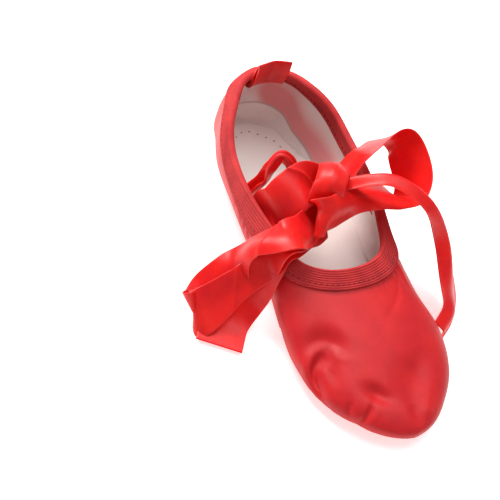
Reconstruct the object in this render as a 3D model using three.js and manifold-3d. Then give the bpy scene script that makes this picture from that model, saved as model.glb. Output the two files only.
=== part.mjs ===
// A satin ballet shoe with a split sole, an elastic binding, a pull loop and tied ribbons.
// Millimetres, +Z up. The toe points to -Y, the heel to +Y, and the floor is z = 0 under the soles.
import * as THREE from "three";
import { mergeVertices } from "three/addons/utils/BufferGeometryUtils.js";
import Module from "manifold-3d";

const wasm = await Module();
wasm.setup();

// Driving sizes of the shoe
const LENGTH = 208; // back of the heel to the tip of the toe
const WIDTH = 80; // across the ball of the foot
const HEIGHT = 46.6; // the height that the crown of the last is shared from
const WALL = 1.5; // satin, interlining and lining together
const GAP = 0.3; // between sewn or glued pieces
const SOLE = 2; // suede of the two sole patches
const TREAD = 0.35; // how deep a patch is pressed flat by the floor
const INSOLE = 1.8; // padded sock under the foot
const SEAM = 8; // the upper reaches this far in under the edge of a sole patch

// The patches, measured from the ends of the shoe: gap to that end, then length and width
const FORE = { gap: 17, length: 62, width: 60 };
const HEEL = { gap: 8.5, length: 45, width: 40 };

// The insole as shares of the last's width, length and height
const SOCK = { wide: 0.76, long: 0.955, high: 0.4 };

// What the soles and their seams are cut with reaches past the last, up to this share of its height
const BELOW = { wide: 2, long: 1.2, high: 0.5 };

// Elastic tape folded over the edge of the collar
const TAPE = { width: 9.5, outer: 0.9, inner: 0.7, cap: 1 };

// Pull loop at the back of the collar
const PULL = { width: 19, tall: 15.5, lean: 1.2, tail: 11, thick: 0.9, eye: 2 };

// Sections of the last, heel to toe. at is the share of the length, width and shift are shares of WIDTH,
// crown and lift of HEIGHT, bulge of the section's own height, and top and under say how square it is.
const SECTIONS = [
  { at: 0.0, width: 0.0, shift: 0.0, crown: 0.92, lift: 0.15, bulge: 0.4, top: 2.4, under: 2.6 },
  { at: 0.03, width: 0.48, shift: 0.0, crown: 1.06, lift: 0.035, bulge: 0.42, top: 2.4, under: 2.8 },
  { at: 0.09, width: 0.63, shift: 0.0, crown: 1.25, lift: 0.0, bulge: 0.46, top: 2.5, under: 3.0 },
  { at: 0.18, width: 0.81, shift: 0.0, crown: 1.31, lift: 0.0, bulge: 0.5, top: 2.6, under: 3.0 },
  { at: 0.3, width: 0.9, shift: -0.005, crown: 1.1, lift: 0.06, bulge: 0.52, top: 2.6, under: 2.7 },
  { at: 0.42, width: 0.94, shift: -0.008, crown: 0.91, lift: 0.075, bulge: 0.52, top: 2.5, under: 2.5 },
  { at: 0.54, width: 0.89, shift: -0.016, crown: 0.79, lift: 0.025, bulge: 0.54, top: 2.4, under: 2.6 },
  { at: 0.66, width: 0.94, shift: -0.01, crown: 0.645, lift: 0.0, bulge: 0.46, top: 2.3, under: 3.0 },
  { at: 0.76, width: 1.0, shift: 0.012, crown: 0.565, lift: 0.0, bulge: 0.38, top: 2.2, under: 3.4 },
  { at: 0.86, width: 0.885, shift: 0.016, crown: 0.455, lift: 0.005, bulge: 0.38, top: 2.2, under: 3.2 },
  { at: 0.94, width: 0.58, shift: 0.02, crown: 0.36, lift: 0.03, bulge: 0.4, top: 2.2, under: 2.8 },
  { at: 1.0, width: 0.0, shift: 0.025, crown: 0.2, lift: 0.115, bulge: 0.5, top: 2.2, under: 2.4 },
];

// Height of the topline as a share of HEIGHT. Its first and last rows lie on the crown itself.
const TOPLINE = [
  { at: 0.035 },
  { at: 0.12, height: 1.039 },
  { at: 0.24, height: 0.845 },
  { at: 0.36, height: 0.79 },
  { at: 0.48, height: 0.738 },
  { at: 0.56, height: 0.704 },
  { at: 0.61 },
];

// Soft hollows of the empty vamp. at and angle (degrees round the section, 90 on the crown) place the middle,
// along and across are the half-lengths in shares of WIDTH, turn is in degrees, depth a share of HEIGHT.
const HOLLOWS = [
  { at: 0.8, angle: 141, along: 0.2, across: 0.085, turn: 24, depth: 0.085 },
  { at: 0.9, angle: 112, along: 0.09, across: 0.045, turn: -30, depth: 0.05 },
  { at: 0.87, angle: 72, along: 0.15, across: 0.09, turn: 35, depth: 0.045 },
];

// Satin ribbon: its width and thickness
const RIBBON = 23;
const RIBBON_THICK = 0.8;

// The knot: its middle and half-sizes across, toward the heel and up before it leans back
const KNOT = { x: 1, y: 15, z: 41, across: 8.5, along: 7.5, tall: 13, lean: 39 };

// Each ribbon from one end to the other: middle of the ribbon, direction of its width, and how much of the
// width is spread open there.
const RIBBONS = {
  ribbon_side_left: [
    { x: -32.2, y: 20.5, z: 27, ax: 0, ay: -1, az: 0, wide: 0.9 },
    { x: -28, y: 19.9, z: 36, ax: 0.1, ay: -1, az: 0.05, wide: 0.9 },
    { x: -25.2, y: 18.8, z: 42.3, ax: 0, ay: -0.95, az: -0.3, wide: 0.96 },
    { x: -17.2, y: 19.5, z: 43.5, ax: 0.1, ay: -0.7, az: -0.7, wide: 1 },
    { x: -12.8, y: 15.8, z: 46.8, ax: -0.05, ay: -0.75, az: -0.6, wide: 0.72 },
    { x: -2, y: 16.5, z: 45, ax: 0, ay: -0.6, az: -0.8, wide: 0.35 },
  ],
  ribbon_side_right: [
    { x: 31.8, y: 21.5, z: 27, ax: -0.05, ay: -1, az: 0, wide: 0.85 },
    { x: 26.5, y: 21, z: 36, ax: -0.15, ay: -1, az: 0, wide: 0.8 },
    { x: 18, y: 18.5, z: 39, ax: 0.1, ay: -0.8, az: -0.6, wide: 0.6 },
    { x: 3, y: 16, z: 39, ax: 0, ay: -0.6, az: -0.8, wide: 0.5 },
  ],
  ribbon_slack_loop: [
    { x: -32, y: 36.2, z: 28, ax: 0.05, ay: -1, az: 0, wide: 0.39 },
    { x: -25, y: 35.4, z: 38, ax: 0.1, ay: -0.7, az: 0.7, wide: 0.39 },
    { x: -23, y: 34.9, z: 48, ax: -0.1, ay: -0.6, az: 0.8, wide: 0.39 },
    { x: -18.8, y: 36.2, z: 52.7, ax: -0.5, ay: -0.7, az: 0.5, wide: 0.39 },
    { x: -14.2, y: 34.8, z: 50.3, ax: -0.6, ay: -0.7, az: 0.4, wide: 0.39 },
    { x: -9, y: 30.1, z: 42.8, ax: -0.6, ay: -0.4, az: 0.7, wide: 0.39 },
    { x: 0, y: 18, z: 41, ax: -0.6, ay: -0.4, az: 0.7, wide: 0.35 },
  ],
  loop_right: [
    { x: 4, y: 18, z: 44, ax: -0.2, ay: -0.8, az: 0.5, wide: 0.4 },
    { x: 14, y: 25, z: 46, ax: -0.1, ay: -0.9, az: 0.4, wide: 0.6 },
    { x: 22, y: 30, z: 50, ax: -0.2, ay: -0.8, az: 0.5, wide: 0.83 },
    { x: 30.2, y: 33.2, z: 53.8, ax: -0.1, ay: -0.7, az: 0.7, wide: 1 },
    { x: 39, y: 36, z: 56, ax: 0, ay: -0.6, az: 0.8, wide: 1 },
    { x: 47.2, y: 32.2, z: 55.8, ax: 0.3, ay: -0.4, az: 0.9, wide: 1 },
    { x: 49, y: 22, z: 52, ax: 0.5, ay: -0.4, az: 0.8, wide: 1 },
    { x: 48.3, y: 12.4, z: 46.8, ax: 0.4, ay: -0.6, az: 0.7, wide: 1 },
    { x: 43.4, y: 6.4, z: 41.9, ax: 0.15, ay: -0.75, az: 0.6, wide: 1 },
    { x: 34.6, y: 7.7, z: 43.6, ax: -0.1, ay: -0.95, az: 0.3, wide: 0.91 },
    { x: 25, y: 10, z: 45, ax: -0.3, ay: -0.95, az: 0.1, wide: 0.8 },
    { x: 12, y: 8.4, z: 46.1, ax: -0.5, ay: -0.85, az: 0.1, wide: 0.6 },
    { x: 2, y: 10, z: 44, ax: -0.5, ay: -0.85, az: 0, wide: 0.4 },
  ],
  tail_right: [
    { x: 2, y: 16, z: 49, ax: 0.6, ay: 0.6, az: -0.5, wide: 0.2 },
    { x: 10, y: 13, z: 54, ax: 0.5, ay: 0.6, az: -0.6, wide: 0.25 },
    { x: 17.5, y: 10, z: 58, ax: 0.5, ay: 0.6, az: -0.7, wide: 0.4 },
    { x: 27.7, y: 4.7, z: 61, ax: 0.6, ay: 0.5, az: -0.6, wide: 0.5 },
    { x: 42.7, y: -7.3, z: 54.6, ax: 0.6, ay: 0.5, az: -0.6, wide: 0.52 },
    { x: 55.2, y: -17.5, z: 35.7, ax: 0.6, ay: 0.4, az: -0.7, wide: 0.9 },
    { x: 57, y: -35, z: 17, ax: 0.7, ay: 0.4, az: -0.7, wide: 1 },
    { x: 54, y: -45, z: 12, ax: 0.7, ay: 0.4, az: -0.6, wide: 0.96 },
    { x: 49, y: -54, z: 10, ax: 0.5, ay: 0.3, az: -0.8, wide: 0.8 },
  ],
  loop_left: [
    { x: -3, y: 9, z: 44, ax: -0.2, ay: -1, az: 0, wide: 0.35 },
    { x: -16, y: 0, z: 46, ax: -0.2, ay: -1, az: 0.1, wide: 0.6 },
    { x: -24.9, y: -4.8, z: 46.9, ax: -0.2, ay: -1, az: 0, wide: 0.8 },
    { x: -36.8, y: -5.8, z: 45.7, ax: -0.4, ay: -0.85, az: 0.3, wide: 1 },
    { x: -45.8, y: -4.8, z: 40.7, ax: -0.4, ay: -0.8, az: 0.4, wide: 1 },
    { x: -55.5, y: -1.3, z: 27, ax: -0.4, ay: -0.8, az: 0.5, wide: 1 },
    { x: -66.3, y: -0.3, z: 16.6, ax: -0.45, ay: -0.75, az: 0.5, wide: 1 },
    { x: -75.7, y: -4.4, z: 10.4, ax: -0.15, ay: -0.8, az: 0.55, wide: 1 },
    { x: -69.9, y: -8.6, z: 9, ax: -0.2, ay: -1, az: 0.05, wide: 1 },
    { x: -59.9, y: -10.1, z: 14.6, ax: -0.05, ay: -1, az: -0.15, wide: 1 },
    { x: -47.8, y: -6.8, z: 23.1, ax: -0.3, ay: -0.95, az: 0, wide: 0.96 },
    { x: -43, y: -6.6, z: 33.9, ax: -0.3, ay: -0.9, az: 0.2, wide: 0.9 },
    { x: -34.8, y: -6.9, z: 42.3, ax: -0.2, ay: -1, az: 0.1, wide: 0.8 },
    { x: -23.6, y: -3.8, z: 44, ax: -0.2, ay: -1, az: 0, wide: 0.6 },
    { x: -13, y: 2, z: 42.5, ax: -0.2, ay: -1, az: 0, wide: 0.45 },
    { x: -2, y: 10, z: 41, ax: -0.2, ay: -1, az: 0, wide: 0.35 },
  ],
  tail_left: [
    { x: -1, y: 10, z: 36.5, ax: -0.2, ay: -1, az: 0, wide: 0.35 },
    { x: -13, y: 1.5, z: 38.3, ax: -0.2, ay: -1, az: 0, wide: 0.4 },
    { x: -23, y: -3, z: 39.5, ax: -0.2, ay: -1, az: 0, wide: 0.6 },
    { x: -33, y: -6, z: 38, ax: -0.2, ay: -1, az: 0.1, wide: 0.8 },
    { x: -38.5, y: -10, z: 30, ax: 0, ay: -1, az: 0.1, wide: 0.87 },
    { x: -41.5, y: -12.5, z: 20, ax: 0, ay: -1, az: 0, wide: 0.9 },
    { x: -47, y: -16, z: 10, ax: 0.6, ay: -0.8, az: 0, wide: 0.96 },
    { x: -55, y: -23, z: 3.5, ax: 0.8, ay: -0.6, az: 0, wide: 0.96 },
    { x: -67, y: -31, z: 1.5, ax: 0.8, ay: -0.6, az: 0, wide: 0.9 },
  ],
};
const RIBBON_STEPS = 2; // extra steps between two rows

// Resolution of the last and of the topline
const STATIONS = 30;
const AROUND = 30;
const TOPLINE_STEPS = 20;

const degrees = (value) => (value * Math.PI) / 180;
const vec = (x, y, z) => new THREE.Vector3(x, y, z);

// Rounds the ends: equal steps of this angle crowd the stations at the heel and the toe.
const roundAt = (at) => Math.acos(THREE.MathUtils.clamp(1 - 2 * at, -1, 1)) / Math.PI;

// Slope of a table's column at one row, through the rows on either side.
function slope(table, key, i) {
  const before = table[Math.max(i - 1, 0)];
  const after = table[Math.min(i + 1, table.length - 1)];
  return (after[key] - before[key]) / (roundAt(after.at) - roundAt(before.at));
}

// A smooth cubic through one column of a table.
function column(table, key, at) {
  let i = 0;
  while (i < table.length - 2 && at > table[i + 1].at) i += 1;
  const from = table[i];
  const to = table[i + 1];
  const step = roundAt(to.at) - roundAt(from.at);
  const t = (roundAt(at) - roundAt(from.at)) / step;
  const ease = t * t * (3 - 2 * t);
  const bend = slope(table, key, i) * t * (1 - t) ** 2 - slope(table, key, i + 1) * t * t * (1 - t);
  return from[key] + (to[key] - from[key]) * ease + bend * step;
}

// The sizes of the last's section at a share of its length.
function section(at) {
  const low = SOLE + GAP - TREAD + column(SECTIONS, "lift", at) * HEIGHT;
  const high = column(SECTIONS, "crown", at) * HEIGHT;
  return {
    half: Math.max(column(SECTIONS, "width", at), 0) * (WIDTH / 2),
    shift: column(SECTIONS, "shift", at) * WIDTH,
    y: LENGTH * (0.5 - at),
    low,
    high,
    wide: low + (high - low) * column(SECTIONS, "bulge", at),
    top: column(SECTIONS, "top", at),
    under: column(SECTIONS, "under", at),
  };
}

const power = (value, n) => Math.sign(value) * Math.abs(value) ** (2 / n);

// A point of the plain last, at an angle round its section. 90 degrees is the crown.
function plainPoint(at, angle) {
  const s = section(at);
  const rise = Math.sin(angle);
  const n = rise > 0 ? s.top : s.under;
  const reach = rise > 0 ? s.high - s.wide : s.wide - s.low;
  return vec(s.shift + s.half * power(Math.cos(angle), n), s.y, s.wide + reach * power(rise, n));
}

// The last's own directions at a point: toward the toe, round the section, and out of the surface.
function frameAt(at, angle) {
  const d = 0.004;
  const toe = plainPoint(Math.min(at + d, 1), angle).sub(plainPoint(Math.max(at - d, 0), angle)).normalize();
  const round = plainPoint(at, angle + d).sub(plainPoint(at, angle - d)).normalize();
  const out = vec(0, 0, 0).crossVectors(round, toe).normalize();
  return { toe, out, round: vec(0, 0, 0).crossVectors(toe, out) };
}

const hollows = HOLLOWS.map((row) => ({
  middle: plainPoint(row.at, degrees(row.angle)),
  ...frameAt(row.at, degrees(row.angle)),
  row,
}));

// A point of the last with the hollows of its vamp pressed in.
function lastPoint(at, angle) {
  const point = plainPoint(at, angle);
  const moved = point.clone();
  for (const { middle, toe, round, out, row } of hollows) {
    const from = point.clone().sub(middle);
    const a = from.dot(toe);
    const b = from.dot(round);
    const turn = degrees(row.turn);
    const along = (a * Math.cos(turn) + b * Math.sin(turn)) / (row.along * WIDTH);
    const across = (b * Math.cos(turn) - a * Math.sin(turn)) / (row.across * WIDTH);
    const behind = from.dot(out) / (row.across * WIDTH);
    moved.addScaledVector(out, -row.depth * HEIGHT * Math.exp(-(along ** 2) - across ** 2 - behind ** 2));
  }
  return moved;
}

// A closed geometry over rings of points. Rings that shrink to a line or a point close by themselves.
function loft(rings, closeEnds) {
  const count = rings[0].length;
  const points = rings.flat().flatMap((p) => [p.x, p.y, p.z]);
  const index = [];
  for (let i = 0; i < rings.length - 1; i += 1) {
    for (let j = 0; j < count; j += 1) {
      const k = (j + 1) % count;
      const [a, b, c, d] = [i * count + j, i * count + k, (i + 1) * count + k, (i + 1) * count + j];
      index.push(a, b, c, a, c, d);
    }
  }
  if (closeEnds) {
    const last = (rings.length - 1) * count;
    for (let j = 1; j < count - 1; j += 1) {
      index.push(0, j + 1, j);
      index.push(last, last + j, last + j + 1);
    }
  }
  const geometry = new THREE.BufferGeometry();
  geometry.setAttribute("position", new THREE.Float32BufferAttribute(points, 3));
  geometry.setIndex(index);
  return closed(geometry);
}

// Merges a geometry's corners and drops the faces that the merge has flattened.
function closed(source) {
  const geometry = source.clone();
  geometry.deleteAttribute("normal");
  geometry.deleteAttribute("uv");
  const merged = mergeVertices(geometry, 1e-4);
  const index = merged.getIndex().array;
  const kept = [];
  for (let i = 0; i < index.length; i += 3) {
    const [a, b, c] = [index[i], index[i + 1], index[i + 2]];
    if (a !== b && b !== c && c !== a) kept.push(a, b, c);
  }
  merged.setIndex(kept);
  return merged;
}

function toSolid(geometry) {
  return new wasm.Manifold(
    new wasm.Mesh({
      numProp: 3,
      vertProperties: Float32Array.from(geometry.getAttribute("position").array),
      triVerts: Uint32Array.from(geometry.getIndex().array),
    }),
  );
}

function toGeometry(solid) {
  const mesh = solid.getMesh();
  const geometry = new THREE.BufferGeometry();
  geometry.setAttribute("position", new THREE.BufferAttribute(mesh.vertProperties, 3));
  geometry.setIndex(new THREE.BufferAttribute(mesh.triVerts, 1));
  return geometry;
}

// The last's surface as a closed geometry with normals.
function lastGeometry() {
  const rings = [];
  for (let i = 0; i <= STATIONS; i += 1) {
    const at = (1 - Math.cos((Math.PI * i) / STATIONS)) / 2;
    const ring = [];
    for (let j = 0; j < AROUND; j += 1) ring.push(lastPoint(at, (2 * Math.PI * j) / AROUND));
    rings.push(ring);
  }
  const geometry = loft(rings, false);
  geometry.computeVertexNormals();
  return geometry;
}

const lastSurface = lastGeometry();

// The last grown or shrunk by an offset along its normals.
function last(offset) {
  const geometry = lastSurface.clone();
  const position = geometry.getAttribute("position");
  const normal = geometry.getAttribute("normal");
  for (let i = 0; i < position.count; i += 1) {
    position.setXYZ(
      i,
      position.getX(i) + normal.getX(i) * offset,
      position.getY(i) + normal.getY(i) * offset,
      position.getZ(i) + normal.getZ(i) * offset,
    );
  }
  return toSolid(geometry);
}

// A layer that lies between two offsets of the last.
const layer = (outer, inner) => last(outer).subtract(last(inner));

// Height of the topline at a share of the length, with its ends on the crown.
const toplineRows = TOPLINE.map((row) => ({
  at: row.at,
  height: row.height === undefined ? column(SECTIONS, "crown", row.at) : row.height,
}));

// The angle round the section where the topline crosses it.
function toplineAngle(at) {
  const s = section(at);
  const share = (column(toplineRows, "height", at) * HEIGHT - s.wide) / (s.high - s.wide);
  return Math.asin(THREE.MathUtils.clamp(Math.max(share, 0) ** (s.top / 2), 0, 1));
}

// The topline's right side, from the back of the heel to the throat, with the surface's normal at each point.
function toplineSide() {
  const [first, final] = [TOPLINE[0].at, TOPLINE[TOPLINE.length - 1].at];
  const side = [];
  for (let i = 0; i <= TOPLINE_STEPS; i += 1) {
    const at = first + ((final - first) * (1 - Math.cos((Math.PI * i) / TOPLINE_STEPS))) / 2;
    const end = i === 0 || i === TOPLINE_STEPS;
    const angle = end ? Math.PI / 2 : toplineAngle(at);
    const pair = [angle, Math.PI - angle].map((a) => ({ point: lastPoint(at, a), out: frameAt(at, a).out }));
    if (end) pair.forEach((p) => p.out.setX(0).normalize());
    side.push(pair);
  }
  return side;
}

const topline = toplineSide();

// The topline moved over the surface, away from the opening where drop is positive.
function movedTopline(drop) {
  const loop = [...topline.map((p) => p[0]), ...topline.slice(1, -1).reverse().map((p) => p[1])];
  const count = loop.length;
  const moved = loop.map(({ point, out }, i) => {
    const along = loop[(i + 1) % count].point.clone().sub(loop[(i + count - 1) % count].point);
    const away = vec(0, 0, 0).crossVectors(out, along).normalize();
    return { point: point.clone().addScaledVector(away, drop), out };
  });
  const steps = topline.length;
  return topline.map((_, i) => [moved[i], i === 0 || i === steps - 1 ? moved[i] : moved[count - i]]);
}

// Everything above the topline: a wall that stands square to the last's surface, with the opening between.
function overTopline(drop) {
  const reach = 3 * WALL;
  const sky = HEIGHT * 3;
  const rings = movedTopline(drop).map(([right, left]) => {
    const out = (side, distance) => side.point.clone().addScaledVector(side.out, distance);
    const up = (side) => out(side, reach).setZ(sky);
    return [up(left), out(left, reach), out(left, -reach), out(right, -reach), out(right, reach), up(right)];
  });
  return toSolid(loft(rings, false));
}

// Everything under a share of the last's height, as wide and long as the other shares say.
function lowPart({ wide, long, high }) {
  const bottom = -HEIGHT;
  const rings = [];
  for (let i = 0; i <= STATIONS; i += 1) {
    const at = (1 - Math.cos((Math.PI * i) / STATIONS)) / 2;
    const s = section(at);
    const top = s.low + (s.high - s.low) * high;
    const [right, left] = [s.shift + s.half * wide, s.shift - s.half * wide];
    const y = s.y * long;
    rings.push([vec(right, y, top), vec(left, y, top), vec(left, y, bottom), vec(right, y, bottom)]);
  }
  return toSolid(loft(rings, false));
}

// The outline of a sole patch as a standing prism, drawn in by an inset.
function patchPrism(patch, toeEnd, inset) {
  const end = toeEnd ? -LENGTH / 2 + patch.gap : LENGTH / 2 - patch.gap;
  const middle = toeEnd ? end + patch.length / 2 : end - patch.length / 2;
  const shift = section(0.5 - middle / LENGTH).shift;
  const shape = new THREE.Shape();
  shape.absellipse(shift, middle, patch.width / 2 - inset, patch.length / 2 - inset, 0, Math.PI * 2);
  const geometry = new THREE.ExtrudeGeometry(shape, {
    depth: HEIGHT * 1.5,
    bevelEnabled: false,
    curveSegments: 20,
  });
  geometry.translate(0, 0, -HEIGHT);
  return toSolid(closed(geometry));
}

const aboveFloor = () => {
  const box = new THREE.BoxGeometry(WIDTH * 2, LENGTH * 2, HEIGHT * 2);
  box.translate(0, 0, HEIGHT);
  return toSolid(closed(box));
};

const material = (color, roughness) => new THREE.MeshStandardMaterial({ color, roughness, metalness: 0 });
const satin = material(0xd0302f, 0.42);
const elastic = material(0xc23a3c, 0.8);
const suede = material(0x7a3438, 0.95);
const cotton = material(0xe2d8d2, 0.9);

const shoe = new THREE.Group();

function add(name, geometry, finish) {
  const mesh = new THREE.Mesh(geometry, finish);
  mesh.name = name;
  shoe.add(mesh);
  return mesh;
}

// The upper wraps under the foot and is open at the collar and under both patches.
function makeUpper() {
  return layer(0, -WALL)
    .subtract(overTopline(0))
    .subtract(patchPrism(FORE, true, SEAM).intersect(lowPart(BELOW)))
    .subtract(patchPrism(HEEL, false, SEAM).intersect(lowPart(BELOW)));
}

function makePatch(patch, toeEnd) {
  return layer(GAP + SOLE, GAP)
    .intersect(patchPrism(patch, toeEnd, 0))
    .intersect(lowPart(BELOW))
    .intersect(aboveFloor());
}

function makeInsole() {
  return layer(-WALL - GAP, -WALL - GAP - INSOLE).intersect(lowPart(SOCK));
}

// The tape lies on both faces of the wall and over its edge.
function makeBinding() {
  const room = layer(GAP, -WALL - GAP).subtract(overTopline(-GAP));
  return layer(GAP + TAPE.outer, -WALL - GAP - TAPE.inner)
    .intersect(overTopline(TAPE.width))
    .subtract(overTopline(-GAP - TAPE.cap))
    .subtract(room);
}

// The last's middle line over the back of the heel: a point that far down from the collar and in from the surface.
function heelPoint(down, deep) {
  const line = new THREE.CatmullRomCurve3([
    ...[TOPLINE[0].at, 0.022, 0.01, 0.003].map((at) => lastPoint(at, Math.PI / 2)),
    ...[0.9, 0.7, 0.5].map((share) => vec(0, LENGTH / 2, section(0).high * share)),
  ]);
  const t = Math.max(down, 0) / line.getLength();
  const along = line.getTangentAt(t);
  const point = line.getPointAt(t).addScaledVector(along, Math.min(down, 0));
  return new THREE.Vector2(point.y + along.z * deep, point.z - along.y * deep);
}

// A hairpin of ribbon seen from the side: both legs hang inside the heel, and the bend stands over the collar.
function pullOutline() {
  const first = WALL + TAPE.inner + 8 * GAP + PULL.thick / 2;
  const second = first + PULL.thick + GAP;
  const over = heelPoint(-TAPE.cap - 2 * GAP, (first + second) / 2);
  const top = over.clone().add(new THREE.Vector2(-PULL.lean, PULL.tall));
  const eye = over.clone().lerp(top, 0.55);
  const bulge = new THREE.Vector2(PULL.eye / 2, PULL.eye / 6);
  const route = new THREE.CatmullRomCurve3(
    [
      heelPoint(PULL.tail, first),
      heelPoint(PULL.tail / 2, first),
      heelPoint(0, first),
      eye.clone().add(bulge),
      top,
      eye.clone().sub(bulge),
      heelPoint(0, second),
      heelPoint(PULL.tail / 2, second),
      heelPoint(PULL.tail, second),
    ].map((p) => vec(p.x, p.y, 0)),
  ).getPoints(18);
  const side = (offset) =>
    route.map((p, i) => {
      const from = route[Math.max(i - 1, 0)];
      const to = route[Math.min(i + 1, route.length - 1)];
      const along = to.clone().sub(from).normalize();
      return new THREE.Vector2(p.x - along.y * offset, p.y + along.x * offset);
    });
  return new THREE.Shape([...side(PULL.thick / 2), ...side(-PULL.thick / 2).reverse()]);
}

// The pull loop follows the curve of the heel from side to side.
function makePullLoop() {
  const geometry = new THREE.ExtrudeGeometry(pullOutline(), { depth: PULL.width, steps: 4, bevelEnabled: false });
  geometry.translate(0, 0, -PULL.width / 2);
  const position = geometry.getAttribute("position");
  const back = topline[0][0].point;
  for (let i = 0; i < position.count; i += 1) {
    const x = position.getZ(i);
    const beside = besideHeel(Math.abs(x));
    position.setXYZ(i, x, position.getX(i) + beside.y - back.y, position.getY(i) + beside.z - back.z);
  }
  return closed(geometry);
}

// The topline's point at a distance beside the back of the heel.
function besideHeel(x) {
  const points = topline.map(([right]) => right.point);
  const next = points.findIndex((p, i) => i > 0 && p.x > x);
  const [from, to] = [points[next - 1], points[next]];
  return from.clone().lerp(to, (x - from.x) / (to.x - from.x));
}

// The knot, grown by an offset.
function makeKnot(offset) {
  const sphere = new THREE.SphereGeometry(1, 16, 10);
  sphere.scale(KNOT.across + offset, KNOT.along + offset, KNOT.tall + offset);
  sphere.rotateX(-degrees(90 - KNOT.lean));
  sphere.translate(KNOT.x, KNOT.y, KNOT.z);
  return toSolid(closed(sphere));
}

// A flat ribbon along its rows, cut off where it enters the knot.
function makeRibbon(rows) {
  const steps = (rows.length - 1) * (RIBBON_STEPS + 1);
  const middle = new THREE.CatmullRomCurve3(rows.map((r) => vec(r.x, r.y, r.z)), false, "centripetal");
  const across = new THREE.CatmullRomCurve3(rows.map((r) => vec(r.ax, r.ay, r.az)));
  const open = new THREE.CatmullRomCurve3(rows.map((r) => vec(r.wide, 0, 0)));
  const rings = [];
  for (let i = 0; i <= steps; i += 1) {
    const t = i / steps;
    const along = middle.getTangent(t);
    const face = vec(0, 0, 0).crossVectors(along, across.getPoint(t)).normalize();
    const side = vec(0, 0, 0).crossVectors(face, along).multiplyScalar((open.getPoint(t).x * RIBBON) / 2);
    const corner = (a, b) =>
      middle.getPoint(t).addScaledVector(side, a).addScaledVector(face, (b * RIBBON_THICK) / 2);
    rings.push([corner(1, 1), corner(-1, 1), corner(-1, -1), corner(1, -1)]);
  }
  return toSolid(loft(rings, true)).subtract(makeKnot(GAP));
}

add("upper", toGeometry(makeUpper()), satin);
add("sole_fore", toGeometry(makePatch(FORE, true)), suede);
add("sole_heel", toGeometry(makePatch(HEEL, false)), suede);
add("insole", toGeometry(makeInsole()), cotton);
add("binding", toGeometry(makeBinding()), elastic);
add("pull_loop", makePullLoop(), satin);
add("knot", toGeometry(makeKnot(0)), satin);
for (const [name, rows] of Object.entries(RIBBONS)) add(name, toGeometry(makeRibbon(rows)), satin);

export default shoe;
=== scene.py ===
"""A red satin ballet shoe with a suede split sole, an elastic binding and ribbons tied in a bow.

The last and the topline repeat the CAD model's own numbers, in millimetres, and the ribbons' routes
follow the CAD ribbons. Every mesh is made from them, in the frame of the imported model, in metres.
"""

import logging
import math
from dataclasses import dataclass
from enum import Enum

import bpy
import numpy as np
from mathutils import Matrix, Vector
from mathutils.bvhtree import BVHTree
from mathutils.kdtree import KDTree


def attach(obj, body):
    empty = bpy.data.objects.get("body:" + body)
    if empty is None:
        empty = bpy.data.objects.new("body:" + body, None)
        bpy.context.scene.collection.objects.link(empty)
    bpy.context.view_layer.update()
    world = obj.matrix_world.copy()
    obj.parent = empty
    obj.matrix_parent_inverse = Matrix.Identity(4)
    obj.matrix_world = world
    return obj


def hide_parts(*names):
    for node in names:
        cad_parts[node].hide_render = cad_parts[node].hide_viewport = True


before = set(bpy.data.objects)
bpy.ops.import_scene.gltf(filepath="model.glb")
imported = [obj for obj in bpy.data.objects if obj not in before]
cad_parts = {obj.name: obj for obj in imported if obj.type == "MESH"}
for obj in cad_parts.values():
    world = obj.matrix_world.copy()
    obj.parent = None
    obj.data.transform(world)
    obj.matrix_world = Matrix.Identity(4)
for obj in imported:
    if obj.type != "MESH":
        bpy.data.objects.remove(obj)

MM = 0.001
BODY = "root"
log = logging.getLogger("ballet_shoe")

LENGTH = 208.0  # back of the heel to the tip of the toe
WIDTH = 80.0  # across the ball of the foot
HEIGHT = 46.6  # the height that the crown of the last is shared from
WALL = 1.5  # satin, interlining and lining
GAP = 0.3  # between sewn or glued pieces
SOLE = 2.0  # suede
TREAD = 0.35  # how deep a patch is pressed flat by the floor
INSOLE = 1.8  # padded sock
TAPE = 9.5  # width of the folded elastic on each face
TAPE_INNER = 0.7  # thickness of the elastic inside the collar
RIBBON = 23.0  # width of the satin ribbon

SECTION_COLUMNS = ("at", "width", "shift", "crown", "lift", "bulge", "top", "under")
SECTIONS = np.array([
    [0.00, 0.000, 0.000, 0.920, 0.150, 0.40, 2.4, 2.6],
    [0.03, 0.480, 0.000, 1.060, 0.035, 0.42, 2.4, 2.8],
    [0.09, 0.630, 0.000, 1.250, 0.000, 0.46, 2.5, 3.0],
    [0.18, 0.810, 0.000, 1.310, 0.000, 0.50, 2.6, 3.0],
    [0.30, 0.900, -0.005, 1.100, 0.060, 0.52, 2.6, 2.7],
    [0.42, 0.940, -0.008, 0.910, 0.075, 0.52, 2.5, 2.5],
    [0.54, 0.890, -0.016, 0.790, 0.025, 0.54, 2.4, 2.6],
    [0.66, 0.940, -0.010, 0.645, 0.000, 0.46, 2.3, 3.0],
    [0.76, 1.000, 0.012, 0.565, 0.000, 0.38, 2.2, 3.4],
    [0.86, 0.885, 0.016, 0.455, 0.005, 0.38, 2.2, 3.2],
    [0.94, 0.580, 0.020, 0.360, 0.030, 0.40, 2.2, 2.8],
    [1.00, 0.000, 0.025, 0.200, 0.115, 0.50, 2.2, 2.4],
])
# at and height; the two ends lie on the crown
TOPLINE = np.array([
    [0.035, np.nan],
    [0.12, 1.039],
    [0.24, 0.845],
    [0.36, 0.790],
    [0.48, 0.738],
    [0.56, 0.704],
    [0.61, np.nan],
])
# at, angle, half-length along, half-length across, turn, depth
HOLLOWS = np.array([
    [0.80, 141, 0.20, 0.085, 24, 0.085],
    [0.90, 112, 0.09, 0.045, -30, 0.050],
    [0.87, 72, 0.15, 0.090, 35, 0.045],
])
# y and height of the seam where the lining's lower strip ends
LINING_SEAM = np.array([[-20, 9.5], [30, 9.8], [64, 10.3], [85, 13.6], [97, 17.8], [102, 21.0]])

Colour = tuple[float, float, float]


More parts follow.
